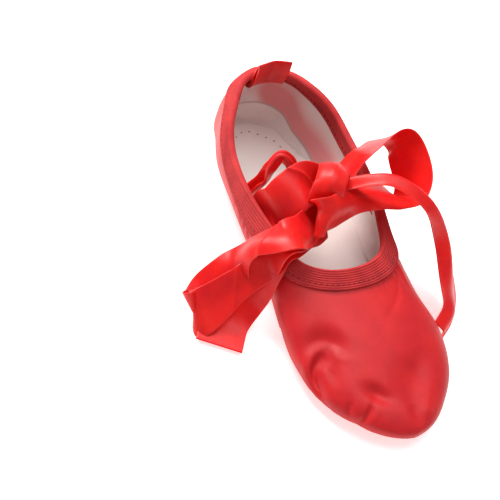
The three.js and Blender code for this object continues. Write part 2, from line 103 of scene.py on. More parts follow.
def smooth_column(rows_at: np.ndarray, values: np.ndarray, at: np.ndarray) -> np.ndarray:
    """Reads one column of a table with a smooth cubic.

    Args:
        rows_at: The rows' shares of the length.
        values: The column.
        at: Shares of the length to read it at.

    Returns:
        The column's value at each share.
    """
    rows = np.arccos(np.clip(1 - 2 * rows_at, -1, 1)) / np.pi
    spot = np.arccos(np.clip(1 - 2 * at, -1, 1)) / np.pi
    before = np.maximum(np.arange(len(rows)) - 1, 0)
    after = np.minimum(np.arange(len(rows)) + 1, len(rows) - 1)
    slopes = (values[after] - values[before]) / (rows[after] - rows[before])
    i = np.searchsorted(rows_at[1:-1], at, side="left")
    step = rows[i + 1] - rows[i]
    t = (spot - rows[i]) / step
    bend = slopes[i] * t * (1 - t) ** 2 - slopes[i + 1] * t * t * (1 - t)
    return values[i] + (values[i + 1] - values[i]) * t * t * (3 - 2 * t) + bend * step


def unit(v: np.ndarray) -> np.ndarray:
    """Vectors of length one along the last axis."""
    return v / np.maximum(np.linalg.norm(v, axis=-1, keepdims=True), 1e-9)


def ease(value: np.ndarray, low: float, high: float) -> np.ndarray:
    """A smooth rise from 0 at low to 1 at high."""
    t = np.clip((value - low) / (high - low), 0, 1)
    return t * t * (3 - 2 * t)


def lengths(points: np.ndarray) -> float:
    """Length of a line of points."""
    return float(np.linalg.norm(np.diff(points, axis=0), axis=1).sum())


def catmull_rom(rows: np.ndarray, t: np.ndarray, centripetal: bool) -> np.ndarray:
    """A Catmull-Rom curve through rows.

    Args:
        rows: The points.
        t: Places from 0 to 1 along the rows.
        centripetal: Spaces the knots by the root of the distance, or evenly.

    Returns:
        A point for each place.
    """
    count = len(rows)
    position = np.clip(t, 0, 1) * (count - 1)
    i = np.minimum(np.floor(position).astype(int), count - 2)
    w = (position - i)[:, None]
    first = 2 * rows[0] - rows[1]
    final = 2 * rows[-1] - rows[-2]
    padded = np.vstack([first, rows, final])
    p0, p1, p2, p3 = (padded[i + k] for k in range(4))
    if centripetal:
        d = [np.maximum(np.linalg.norm(b - a, axis=1, keepdims=True) ** 0.5, 1e-4)
             for a, b in ((p0, p1), (p1, p2), (p2, p3))]
    else:
        d = [1.0, 1.0, 1.0]
    t1 = ((p1 - p0) / d[0] - (p2 - p0) / (d[0] + d[1]) + (p2 - p1) / d[1]) * d[1]
    t2 = ((p2 - p1) / d[1] - (p3 - p1) / (d[1] + d[2]) + (p3 - p2) / d[2]) * d[1]
    c2 = -3 * p1 + 3 * p2 - 2 * t1 - t2
    c3 = 2 * p1 - 2 * p2 + t1 + t2
    return p1 + t1 * w + c2 * w**2 + c3 * w**3


@dataclass
class Last:
    """The form that the shoe is made on."""

    floor_gap: float = SOLE + GAP - TREAD

    def section(self, at: np.ndarray) -> dict[str, np.ndarray]:
        """The sizes of the last's section at a share of its length."""
        table = {name: SECTIONS[:, i] for i, name in enumerate(SECTION_COLUMNS)}
        read = {name: smooth_column(table["at"], table[name], at) for name in SECTION_COLUMNS[1:]}
        low = self.floor_gap + read["lift"] * HEIGHT
        high = read["crown"] * HEIGHT
        return {
            "half": np.maximum(read["width"], 0) * WIDTH / 2,
            "shift": read["shift"] * WIDTH,
            "y": LENGTH * (0.5 - at),
            "low": low,
            "high": high,
            "wide": low + (high - low) * read["bulge"],
            "top": read["top"],
            "under": read["under"],
        }

    def plain_point(self, at: np.ndarray, angle: np.ndarray) -> np.ndarray:
        """A point of the plain last at an angle round its section, 90 degrees on the crown."""
        at, angle = np.broadcast_arrays(np.asarray(at, float), np.asarray(angle, float))
        s = self.section(at)
        rise = np.sin(angle)
        side = np.cos(angle)
        n = np.where(rise > 0, s["top"], s["under"])
        reach = np.where(rise > 0, s["high"] - s["wide"], s["wide"] - s["low"])
        x = s["shift"] + s["half"] * np.sign(side) * np.abs(side) ** (2 / n)
        z = s["wide"] + reach * np.sign(rise) * np.abs(rise) ** (2 / n)
        return np.stack([x, s["y"], z], axis=-1)

    def frame_at(self, at: float, angle: float) -> tuple[np.ndarray, np.ndarray, np.ndarray]:
        """Directions at a point: toward the toe, round the section and out of the surface."""
        d = 0.004
        toe = unit(self.plain_point(min(at + d, 1), angle) - self.plain_point(max(at - d, 0), angle))
        around = unit(self.plain_point(at, angle + d) - self.plain_point(at, angle - d))
        out = unit(np.cross(around, toe))
        return toe, np.cross(toe, out), out

    def point(self, at: np.ndarray, angle: np.ndarray) -> np.ndarray:
        """A point of the last with the soft hollows of the vamp pressed in."""
        plain = self.plain_point(at, angle)
        moved = plain.copy()
        for row_at, row_angle, along, across, turn, depth in HOLLOWS:
            middle = self.plain_point(row_at, math.radians(row_angle))
            toe, around, out = self.frame_at(row_at, math.radians(row_angle))
            away = plain - middle
            a, b = away @ toe, away @ around
            c, s = math.cos(math.radians(turn)), math.sin(math.radians(turn))
            u = (a * c + b * s) / (along * WIDTH)
            v = (b * c - a * s) / (across * WIDTH)
            w = (away @ out) / (across * WIDTH)
            moved -= out * (depth * HEIGHT * np.exp(-(u**2) - v**2 - w**2))[..., None]
        return moved

    def underside(self, x: np.ndarray, y: np.ndarray) -> np.ndarray:
        """Height of the last's underside over the floor at a place."""
        s = self.section(0.5 - y / LENGTH)
        share = np.clip(np.abs(x - s["shift"]) / np.maximum(s["half"], 1e-6), 0, 0.999)
        n = s["under"]
        return s["wide"] - (s["wide"] - s["low"]) * (1 - share**n) ** (1 / n)

    def under_offset(self, x: np.ndarray, y: np.ndarray, offset: float) -> np.ndarray:
        """Height of a surface that lies an offset over the last's underside, measured square to it."""
        d = 0.3
        y = np.clip(y, -LENGTH / 2 + 2 * d, LENGTH / 2 - 2 * d)
        dx = (self.underside(x + d, y) - self.underside(x - d, y)) / (2 * d)
        dy = (self.underside(x, y + d) - self.underside(x, y - d)) / (2 * d)
        return self.underside(x, y) + offset * np.minimum(np.sqrt(1 + dx**2 + dy**2), 1.5)

    def topline_angle(self, at: np.ndarray) -> np.ndarray:
        """The angle round the section where the collar's edge crosses it."""
        crown = smooth_column(SECTIONS[:, 0], SECTIONS[:, 3], TOPLINE[:, 0])
        heights = np.where(np.isnan(TOPLINE[:, 1]), crown, TOPLINE[:, 1])
        s = self.section(at)
        height = smooth_column(TOPLINE[:, 0], heights, at) * HEIGHT
        share = np.clip((height - s["wide"]) / (s["high"] - s["wide"]), 0, 1)
        angle = np.arcsin(np.clip(share ** (s["top"] / 2), 0, 1))
        ends = (at <= TOPLINE[0, 0] + 1e-9) | (at >= TOPLINE[-1, 0] - 1e-9)
        return np.where(ends, np.pi / 2, angle)

    def topline(self, count: int) -> np.ndarray:
        """The closed line of the collar's edge.

        Args:
            count: Points on each side.

        Returns:
            Points from the back of the heel along the right side to the throat and back.
        """
        first, final = TOPLINE[0, 0], TOPLINE[-1, 0]
        at = first + (final - first) * (1 - np.cos(np.pi * np.arange(count + 1) / count)) / 2
        angle = self.topline_angle(at)
        right = self.point(at, angle)
        left = self.point(at, np.pi - angle)
        return np.concatenate([right, left[-2:0:-1]])


LAST = Last()


def only(obj: bpy.types.Object) -> None:
    """Selects one object and makes it active."""
    bpy.ops.object.select_all(action="DESELECT")
    obj.select_set(True)
    bpy.context.view_layer.objects.active = obj


def grid_piece(name: str, points: np.ndarray, size: tuple[float, float],
               **marks: np.ndarray) -> bpy.types.Object:
    """A grid laid over rows of points, with its cloth lengths as the UV map.

    Args:
        name: The piece's name.
        points: Rows by columns by three, in millimetres.
        size: Length across the rows and along the columns, in millimetres.
        **marks: Numbers by row and column that the piece's material reads by name.

    Returns:
        The new object.
    """
    rows, cols = points.shape[:2]
    bpy.ops.object.select_all(action="DESELECT")
    bpy.ops.mesh.primitive_grid_add(x_subdivisions=cols - 1, y_subdivisions=rows - 1, size=2,
                                    location=(0, 0, 0))
    obj = bpy.context.object
    mesh = obj.data
    obj.name = mesh.name = name
    co = np.empty(len(mesh.vertices) * 3)
    mesh.vertices.foreach_get("co", co)
    co = co.reshape(-1, 3)
    column = np.rint((co[:, 0] + 1) / 2 * (cols - 1)).astype(int)
    row = np.rint((co[:, 1] + 1) / 2 * (rows - 1)).astype(int)
    mesh.vertices.foreach_set("co", (points[row, column] * MM).ravel())
    corner = np.empty(len(mesh.loops), int)
    mesh.loops.foreach_get("vertex_index", corner)
    uv = np.stack([column[corner] / (cols - 1) * size[1], row[corner] / (rows - 1) * size[0]], axis=-1)
    mesh.uv_layers.active.data.foreach_set("uv", (uv / 10).ravel())
    mesh.polygons.foreach_set("use_smooth", np.ones(len(mesh.polygons), bool))
    for key, values in marks.items():
        mark(obj, key, np.broadcast_to(values, (rows, cols))[row, column])
    mesh.update()
    return obj


def mark(obj: bpy.types.Object, name: str, values: np.ndarray) -> None:
    """Stores a number for each vertex, for the piece's material to read."""
    layer = obj.data.attributes.new(name, "FLOAT", "POINT")
    layer.data.foreach_set("value", np.ascontiguousarray(values, dtype=np.float32))


def merged(obj: bpy.types.Object, distance: float = 0.01) -> bpy.types.Object:
    """Closes seams and poles."""
    only(obj)
    bpy.ops.object.mode_set(mode="EDIT")
    bpy.ops.mesh.select_all(action="SELECT")
    bpy.ops.mesh.remove_doubles(threshold=distance * MM)
    bpy.ops.mesh.normals_make_consistent(inside=False)
    bpy.ops.object.mode_set(mode="OBJECT")
    return obj


def add_modifier(obj: bpy.types.Object, kind: str, **values: object) -> None:
    """Adds a modifier with its settings and applies it."""
    only(obj)
    modifier = obj.modifiers.new(kind.title(), kind)
    for key, value in values.items():
        setattr(modifier, key, value)
    bpy.ops.object.modifier_apply(modifier=modifier.name)


def coordinates(obj: bpy.types.Object) -> np.ndarray:
    """Vertex positions in millimetres."""
    co = np.empty(len(obj.data.vertices) * 3)
    obj.data.vertices.foreach_get("co", co)
    return co.reshape(-1, 3) / MM


def normals(obj: bpy.types.Object) -> np.ndarray:
    """Vertex normals."""
    out = np.empty(len(obj.data.vertices) * 3)
    obj.data.vertices.foreach_get("normal", out)
    return out.reshape(-1, 3)


def place(obj: bpy.types.Object, co: np.ndarray) -> None:
    """Sets the vertex positions, given in millimetres."""
    obj.data.vertices.foreach_set("co", (co * MM).ravel())
    obj.data.update()


class Graph:
    """A material's nodes, with short calls to add and join them."""

    def __init__(self, name: str) -> None:
        """Starts a material that has a Principled shader."""
        self.material = bpy.data.materials.new(name)
        self.material.use_nodes = True
        self.tree = self.material.node_tree
        self.shader = self.tree.nodes["Principled BSDF"]

    def node(self, kind: str, **values: object) -> bpy.types.Node:
        """Adds a node and sets its properties."""
        made = self.tree.nodes.new(kind)
        for key, value in values.items():
            setattr(made, key, value)
        return made

    def join(self, start: bpy.types.NodeSocket, end: bpy.types.NodeSocket) -> None:
        """Links two sockets."""
        self.tree.links.new(start, end)

    def coords(self, kind: str, scale: tuple[float, float, float]) -> bpy.types.NodeSocket:
        """Scaled coordinates of a kind, such as Object or UV."""
        source = self.node("ShaderNodeTexCoord")
        mapping = self.node("ShaderNodeMapping")
        mapping.inputs["Scale"].default_value = scale
        self.join(source.outputs[kind], mapping.inputs["Vector"])
        return mapping.outputs["Vector"]

    def attribute(self, name: str) -> bpy.types.NodeSocket:
        """A number stored on the piece's vertices."""
        return self.node("ShaderNodeAttribute", attribute_name=name).outputs["Fac"]

    def noise(self, vector: bpy.types.NodeSocket, scale: float, detail: float = 2.0,
              rough: float = 0.5) -> bpy.types.NodeSocket:
        """A noise pattern's value."""
        made = self.node("ShaderNodeTexNoise")
        made.inputs["Scale"].default_value = scale
        made.inputs["Detail"].default_value = detail
        made.inputs["Roughness"].default_value = rough
        self.join(vector, made.inputs["Vector"])
        return made.outputs["Fac"]

    def ramp(self, value: bpy.types.NodeSocket,
             stops: list[tuple[float, Colour]]) -> bpy.types.NodeSocket:
        """A colour ramp over a value."""
        made = self.node("ShaderNodeValToRGB")
        elements = made.color_ramp.elements
        while len(elements) < len(stops):
            elements.new(0.5)
        for element, (at, colour) in zip(elements, stops):
            element.position = at
            element.color = (*colour, 1)
        self.join(value, made.inputs["Fac"])
        return made.outputs["Color"]

    def math(self, operation: str, a: object, b: object = 0.0) -> bpy.types.NodeSocket:
        """A number worked out from two others."""
        made = self.node("ShaderNodeMath", operation=operation)
        for socket, value in zip(made.inputs, (a, b)):
            if isinstance(value, bpy.types.NodeSocket):
                self.join(value, socket)
            else:
                socket.default_value = value
        return made.outputs["Value"]

    def mix(self, factor: bpy.types.NodeSocket, a: object, b: object) -> bpy.types.NodeSocket:
        """A colour between two others, each a socket or a fixed colour."""
        made = self.node("ShaderNodeMix", data_type="RGBA")
        self.join(factor, made.inputs["Factor"])
        for socket, value in ((made.inputs[6], a), (made.inputs[7], b)):
            if isinstance(value, bpy.types.NodeSocket):
                self.join(value, socket)
            else:
                socket.default_value = (*value, 1)
        return made.outputs[2]

    def bump(self, height: bpy.types.NodeSocket, strength: float, distance: float,
             under: bpy.types.NodeSocket | None = None) -> bpy.types.NodeSocket:
        """A bump from a height, laid over another."""
        made = self.node("ShaderNodeBump")
        made.inputs["Strength"].default_value = strength
        made.inputs["Distance"].default_value = distance * MM
        self.join(height, made.inputs["Height"])
        if under is not None:
            self.join(under, made.inputs["Normal"])
        return made.outputs["Normal"]

    def finish(self, colour: bpy.types.NodeSocket, roughness: object, normal: bpy.types.NodeSocket,
               **sockets: object) -> bpy.types.Material:
        """Joins colour, roughness and normal, and sets the shader's other sockets."""
        self.join(colour, self.shader.inputs["Base Color"])
        if isinstance(roughness, bpy.types.NodeSocket):
            self.join(roughness, self.shader.inputs["Roughness"])
        else:
            self.shader.inputs["Roughness"].default_value = roughness
        self.join(normal, self.shader.inputs["Normal"])
        for name, value in sockets.items():
            self.shader.inputs[name.replace("_", " ")].default_value = value
        return self.material


@dataclass(frozen=True)
class Satin:
    """Woven satin with threads that run along the cloth."""

    name: str
    dark: Colour = (0.50, 0.008, 0.014)
    light: Colour = (0.62, 0.014, 0.017)
    roughness: float = 0.46
    specular: float = 0.3
    threads: float = 0.25
    through: float = 0.0
    edge: Colour = (0.80, 0.05, 0.04)

    def material(self) -> bpy.types.Material:
        """The node material."""
        g = Graph(self.name)
        soft = g.noise(g.coords("Object", (1, 1, 1)), 60, 4, 0.6)
        streak = g.noise(g.coords("UV", (0.5, 14, 1)), 6, 3, 0.6)
        weave = g.noise(g.coords("UV", (6, 60, 1)), 6, 2, 0.5)
        mixed = g.math("ADD", g.math("MULTIPLY", soft, 0.65), g.math("MULTIPLY", streak, 0.35))
        colour = g.ramp(mixed, [(0.36, self.dark), (0.60, self.light)])
        colour = g.mix(g.attribute("selvage"), colour, self.edge)
        rough = g.math("ADD", g.math("MULTIPLY", streak, 0.14), self.roughness - 0.07)
        normal = g.bump(weave, self.threads, 0.08, g.bump(soft, 0.05, 1.0))
        return g.finish(colour, rough, normal, Sheen_Weight=0.08, Sheen_Roughness=0.4,
                        Sheen_Tint=(1.0, 0.30, 0.25, 1.0), Specular_IOR_Level=self.specular,
                        Subsurface_Weight=self.through, Subsurface_Radius=(1.0, 0.06, 0.06),
                        Subsurface_Scale=2 * MM)


@dataclass(frozen=True)
class Cotton:
    """Plain cotton twill, with a second colour painted where red light from the cloth behind it shines
    through.
    """

    name: str
    light: Colour = (0.90, 0.86, 0.83)
    dark: Colour = (0.82, 0.76, 0.73)
    # painted light: the red light that shines through from the satin behind
    glow: Colour = (0.80, 0.26, 0.27)
    seam: Colour = (0.34, 0.25, 0.24)

    def material(self) -> bpy.types.Material:
        """The node material."""
        g = Graph(self.name)
        soft = g.noise(g.coords("Object", (1, 1, 1)), 45, 4)
        weave = g.noise(g.coords("UV", (14, 50, 1)), 4, 2)
        colour = g.ramp(g.math("ADD", g.math("MULTIPLY", soft, 0.75), g.math("MULTIPLY", weave, 0.25)),
                        [(0.3, self.dark), (0.62, self.light)])
        # painted red light where the satin shines through the lining
        colour = g.mix(g.attribute("glow"), colour, self.glow)
        colour = g.mix(g.attribute("seam"), colour, self.seam)
        normal = g.bump(weave, 0.4, 0.15, g.bump(soft, 0.25, 1.5))
        return g.finish(colour, 0.88, normal, Sheen_Weight=0.15, Sheen_Roughness=0.5,
                        Specular_IOR_Level=0.2)


@dataclass(frozen=True)
class Suede:
    """Napped suede."""

    name: str
    light: Colour = (0.24, 0.055, 0.062)
    dark: Colour = (0.115, 0.020, 0.026)

    def material(self) -> bpy.types.Material:
        """The node material."""
        g = Graph(self.name)
        patch = g.noise(g.coords("Object", (1, 1, 1)), 70, 4, 0.6)
        nap = g.noise(g.coords("Object", (1, 1, 1)), 1400, 3, 0.7)
        colour = g.ramp(g.math("ADD", g.math("MULTIPLY", patch, 0.55), g.math("MULTIPLY", nap, 0.45)),
                        [(0.32, self.dark), (0.66, self.light)])
        normal = g.bump(nap, 0.6, 0.3, g.bump(patch, 0.2, 0.8))
        return g.finish(colour, 0.95, normal, Sheen_Weight=0.4, Sheen_Roughness=0.5,
                        Specular_IOR_Level=0.15)


@dataclass(frozen=True)
class Elastic:
    """Ribbed elastic tape, with shade painted into the grooves between its ribs."""

    name: str
    light: Colour = (0.62, 0.035, 0.036)
    dark: Colour = (0.36, 0.012, 0.018)
    # painted shade: the darker colour of the grooves between the ribs
    groove: Colour = (0.20, 0.005, 0.010)

    def material(self) -> bpy.types.Material:
        """The node material."""
        g = Graph(self.name)
        soft = g.noise(g.coords("Object", (1, 1, 1)), 120, 3)
        thread = g.noise(g.coords("UV", (16, 8, 1)), 8, 2)
        colour = g.ramp(g.math("ADD", g.math("MULTIPLY", soft, 0.5), g.math("MULTIPLY", thread, 0.5)),
                        [(0.3, self.dark), (0.6, self.light)])
        # painted shade laid into the grooves between the ribs
        colour = g.mix(g.attribute("groove"), colour, self.groove)
        normal = g.bump(thread, 0.4, 0.2)
        return g.finish(colour, 0.7, normal, Sheen_Weight=0.1, Sheen_Roughness=0.4,
                        Specular_IOR_Level=0.3)


@dataclass(frozen=True)
class Thread:
    """Sewing thread."""

    name: str
    light: Colour
    dark: Colour

    def material(self) -> bpy.types.Material:
        """The node material."""
        g = Graph(self.name)
        fibre = g.noise(g.coords("Object", (1, 1, 1)), 1800, 2)
        colour = g.ramp(fibre, [(0.35, self.dark), (0.6, self.light)])
        return g.finish(colour, 0.7, g.bump(fibre, 0.4, 0.1), Sheen_Weight=0.1, Specular_IOR_Level=0.3)


class Finish(Enum):
    """The finishes of the shoe."""

    SATIN = Satin("upper_satin")
    RIBBON = Satin("ribbon_satin", dark=(0.62, 0.006, 0.012), light=(0.82, 0.014, 0.010),
                   roughness=0.36, through=0.35)
    LINING = Cotton("cotton_lining")
    SOCK = Cotton("insole_cotton", light=(0.94, 0.91, 0.87), dark=(0.87, 0.82, 0.78))
    SUEDE = Suede("sole_suede")
    ELASTIC = Elastic("binding_elastic")
    DARK_THREAD = Thread("binding_thread", (0.16, 0.004, 0.010), (0.08, 0.002, 0.005))
    SOLE_THREAD = Thread("sole_thread", (0.62, 0.20, 0.20), (0.40, 0.10, 0.11))
    SOCK_THREAD = Thread("insole_thread", (0.30, 0.24, 0.22), (0.18, 0.14, 0.13))


MATERIALS: dict[Finish, bpy.types.Material] = {}


def dress(obj: bpy.types.Object, finish: Finish, slot: str, *nodes: str) -> None:
    """Gives a piece its finish and ties it to the frame.

    Args:
        obj: The piece.
        finish: Its finish.
        slot: The record's material slot; not used.
        *nodes: The CAD nodes that it stands for.
    """
    if finish not in MATERIALS:
        MATERIALS[finish] = finish.value.material()
    obj.data.materials.clear()
    obj.data.materials.append(MATERIALS[finish])
    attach(obj, BODY)
    if nodes:
        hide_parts(*nodes)
    log.info("%s: %d faces", obj.name, len(obj.data.polygons))


@dataclass(frozen=True)
class Stitches:
    """A row of thread stitches along a line."""

    name: str
    length: float = 1.8
    gap: float = 1.0
    radius: float = 0.3
    flat: float = 0.7

    def sew(self, line: np.ndarray, out: np.ndarray) -> bpy.types.Object:
        """Lays the stitches.

        Args:
            line: Points of the line, in millimetres.
            out: The cloth's normal at each point.

        Returns:
            All the stitches as one object.
        """
        steps = np.linalg.norm(np.diff(line, axis=0), axis=1)
        run = np.concatenate([[0], np.cumsum(steps)])
        count = max(int(run[-1] / (self.length + self.gap)), 1)
        middles = (np.arange(count) + 0.5) * run[-1] / count
        half = self.length / 2

        def read(values: np.ndarray, where: np.ndarray) -> np.ndarray:
            """Reads the columns of values at lengths along the line."""
            return np.stack([np.interp(where, run, values[:, k]) for k in range(3)], axis=-1)

        spots = read(line, middles)
        along = unit(read(line, middles + half) - read(line, middles - half))
        normal = read(out, middles)
        normal = unit(normal - along * (normal * along).sum(1, keepdims=True))
        bpy.ops.object.select_all(action="DESELECT")
        bpy.ops.mesh.primitive_uv_sphere_add(segments=8, ring_count=6, radius=1, location=(0, 0, 0))
        first = bpy.context.object
        first.data.polygons.foreach_set("use_smooth", np.ones(len(first.data.polygons), bool))
        made = [first] + [first.copy() for _ in range(count - 1)]
        for obj in made[1:]:
            obj.data = first.data.copy()
            bpy.context.collection.objects.link(obj)
        for obj, spot, a, n in zip(made, spots, along, normal):
            turn = np.eye(4)
            turn[:3, 0] = np.cross(n, a) * self.radius * MM
            turn[:3, 1] = n * self.radius * self.flat * MM
            turn[:3, 2] = a * half * MM
            turn[:3, 3] = spot * MM
            obj.data.transform(Matrix(turn.tolist()))
        bpy.ops.object.select_all(action="DESELECT")
        for obj in made:
            obj.select_set(True)
        bpy.context.view_layer.objects.active = first
        if len(made) > 1:
            bpy.ops.object.join()
        first.name = first.data.name = self.name
        return first


@dataclass(frozen=True)
class Crease:
    """A crease of the empty vamp, along given points of its surface.

    Its lip is on the route's left.
    """

    route: tuple[tuple[float, float, float], ...]
    width: float
    depth: float
    lip: float = 0.0
    steps: int = 60

    def lift(self, co: np.ndarray, out: np.ndarray) -> np.ndarray:
        """How far each point of the cloth moves outward.

        Args:
            co: The points.
            out: Their normals.

        Returns:
            A distance in millimetres for each point, negative in the trough.
        """
        line = catmull_rom(np.array(self.route), np.linspace(0, 1, self.steps + 1), True)
        along = unit(np.gradient(line, axis=0))
        moved = np.zeros(len(co))
        reach = 4 * self.width + lengths(line) / 8
        coarse = np.linalg.norm(co[:, None] - line[None, ::10], axis=2).min(1)
        near = np.flatnonzero(coarse < reach)
        away = co[near][:, None] - line[None]
        nearest = np.linalg.norm(away, axis=2).argmin(1)
        v = away[np.arange(len(near)), nearest]
        side = np.cross(out[near], along[nearest])
        a = (v * side).sum(1) / self.width
        past = (v * along[nearest]).sum(1) / (1.6 * self.width)
        deep = (v * out[near]).sum(1) / (2.5 * self.width)
        ends = np.sin(np.pi * np.clip(nearest / self.steps, 0.04, 0.96)) ** 0.7
        fade = ends * np.exp(-(past**2) - deep**2)
        trough = np.exp(-(np.where(a > 0, a * 0.8, a * 1.25) ** 2))
        lip = np.exp(-(((a - 2.0) / 1.2) ** 2))
        moved[near] = fade * (self.lip * lip - self.depth * trough)
        return moved


CREASES = (
    Crease(((-26.3, -55.8, 19.0), (-30.4, -57.9, 16.8), (-33.9, -61.5, 14.9), (-35.2, -65.9, 12.6),
            (-34.9, -70.7, 10.4), (-33.3, -75.8, 8.0)), 2.6, 2.9, 1.0),
    Crease(((-38.8, -55.4, 11.9), (-36.4, -52.2, 17.3), (-31.1, -50.3, 20.2), (-25.8, -50.7, 21.5),
            (-21.7, -53.8, 22.8), (-19.9, -58.9, 22.8), (-20.6, -64.6, 21.3)), 4.2, 2.0, 0.0),
    Crease(((-24.6, -81.5, 15.5), (-25.4, -84.0, 13.0), (-26.6, -86.6, 9.8)), 1.4, 0.8, 0.3),
    Crease(((-15.0, -86.5, 17.0), (-18.6, -89.6, 14.0), (-21.6, -91.2, 11.2), (-23.8, -92.2, 8.0)),
           1.6, 1.4, 0.2),
    Crease(((-7.3, -83.3, 17.3), (4.1, -87.9, 17.3), (13.4, -93.0, 15.3)), 7.0, 1.0, 0.1),
    Crease(((4.7, -90.5, 16.7), (4.4, -96.9, 14.8), (6.4, -101.6, 11.6)), 3.4, 0.9, 0.4),
    Crease(((25.6, -20.4, 29.6), (24.2, -27.0, 28.4), (22.6, -33.6, 27.6), (17.0, -41.5, 27.4),
            (8.0, -49.0, 27.0)), 1.5, 0.5, 0.15),
    Crease(((24.6, -18.9, 30.2), (27.0, -25.5, 28.0), (27.6, -32.4, 26.4)), 1.4, 0.6, 0.2),
    Crease(((-36.4, 31.4, 30.5), (-38.0, 27.4, 27.0), (-38.6, 23.4, 22.5)), 1.5, 1.1, 0.4),
    Crease(((-36.6, 26.4, 30.6), (-38.2, 22.0, 26.5), (-38.6, 18.0, 21.5)), 1.5, 1.2, 0.4),
    Crease(((-36.8, 20.8, 30.4), (-38.0, 16.0, 26.0), (-38.2, 12.5, 21.0)), 1.5, 1.0, 0.4),
    Crease(((-35.6, 40.5, 31.4), (-36.6, 36.5, 28.0), (-37.4, 32.5, 23.5)), 1.5, 0.7, 0.3),
)


class Skin:
    """The last's surface as a thing to lay pieces on."""

    def __init__(self, obj: bpy.types.Object) -> None:
        """Reads the surface from a mesh."""
        self.co = coordinates(obj)
        self.normal = normals(obj)
        self.faces = [tuple(p.vertices) for p in obj.data.polygons]
        self.tree = BVHTree.FromPolygons([Vector(c) for c in self.co], self.faces)

    def touch(self, points: np.ndarray) -> tuple[np.ndarray, np.ndarray]:
        """The nearest points of the surface, and its normals there."""
        places, outs = [], []
        for point in points:
            spot, _, face, _ = self.tree.find_nearest(Vector(point))
            corners = list(self.faces[face])
            away = np.linalg.norm(self.co[corners] - np.array(spot), axis=1)
            weight = 1 / np.maximum(away, 1e-3)
            outs.append((self.normal[corners] * weight[:, None]).sum(0))
            places.append(np.array(spot))
        return np.array(places), unit(np.array(outs))


def nearest_of(line: np.ndarray, co: np.ndarray) -> tuple[np.ndarray, np.ndarray]:
    """For each point, the index of the line's nearest point and its distance."""
    tree = KDTree(len(line))
    for i, point in enumerate(line):
        tree.insert(Vector(point), i)
    tree.balance()
    found = [tree.find(Vector(point)) for point in co]
    return np.array([f[1] for f in found]), np.array([f[2] for f in found])


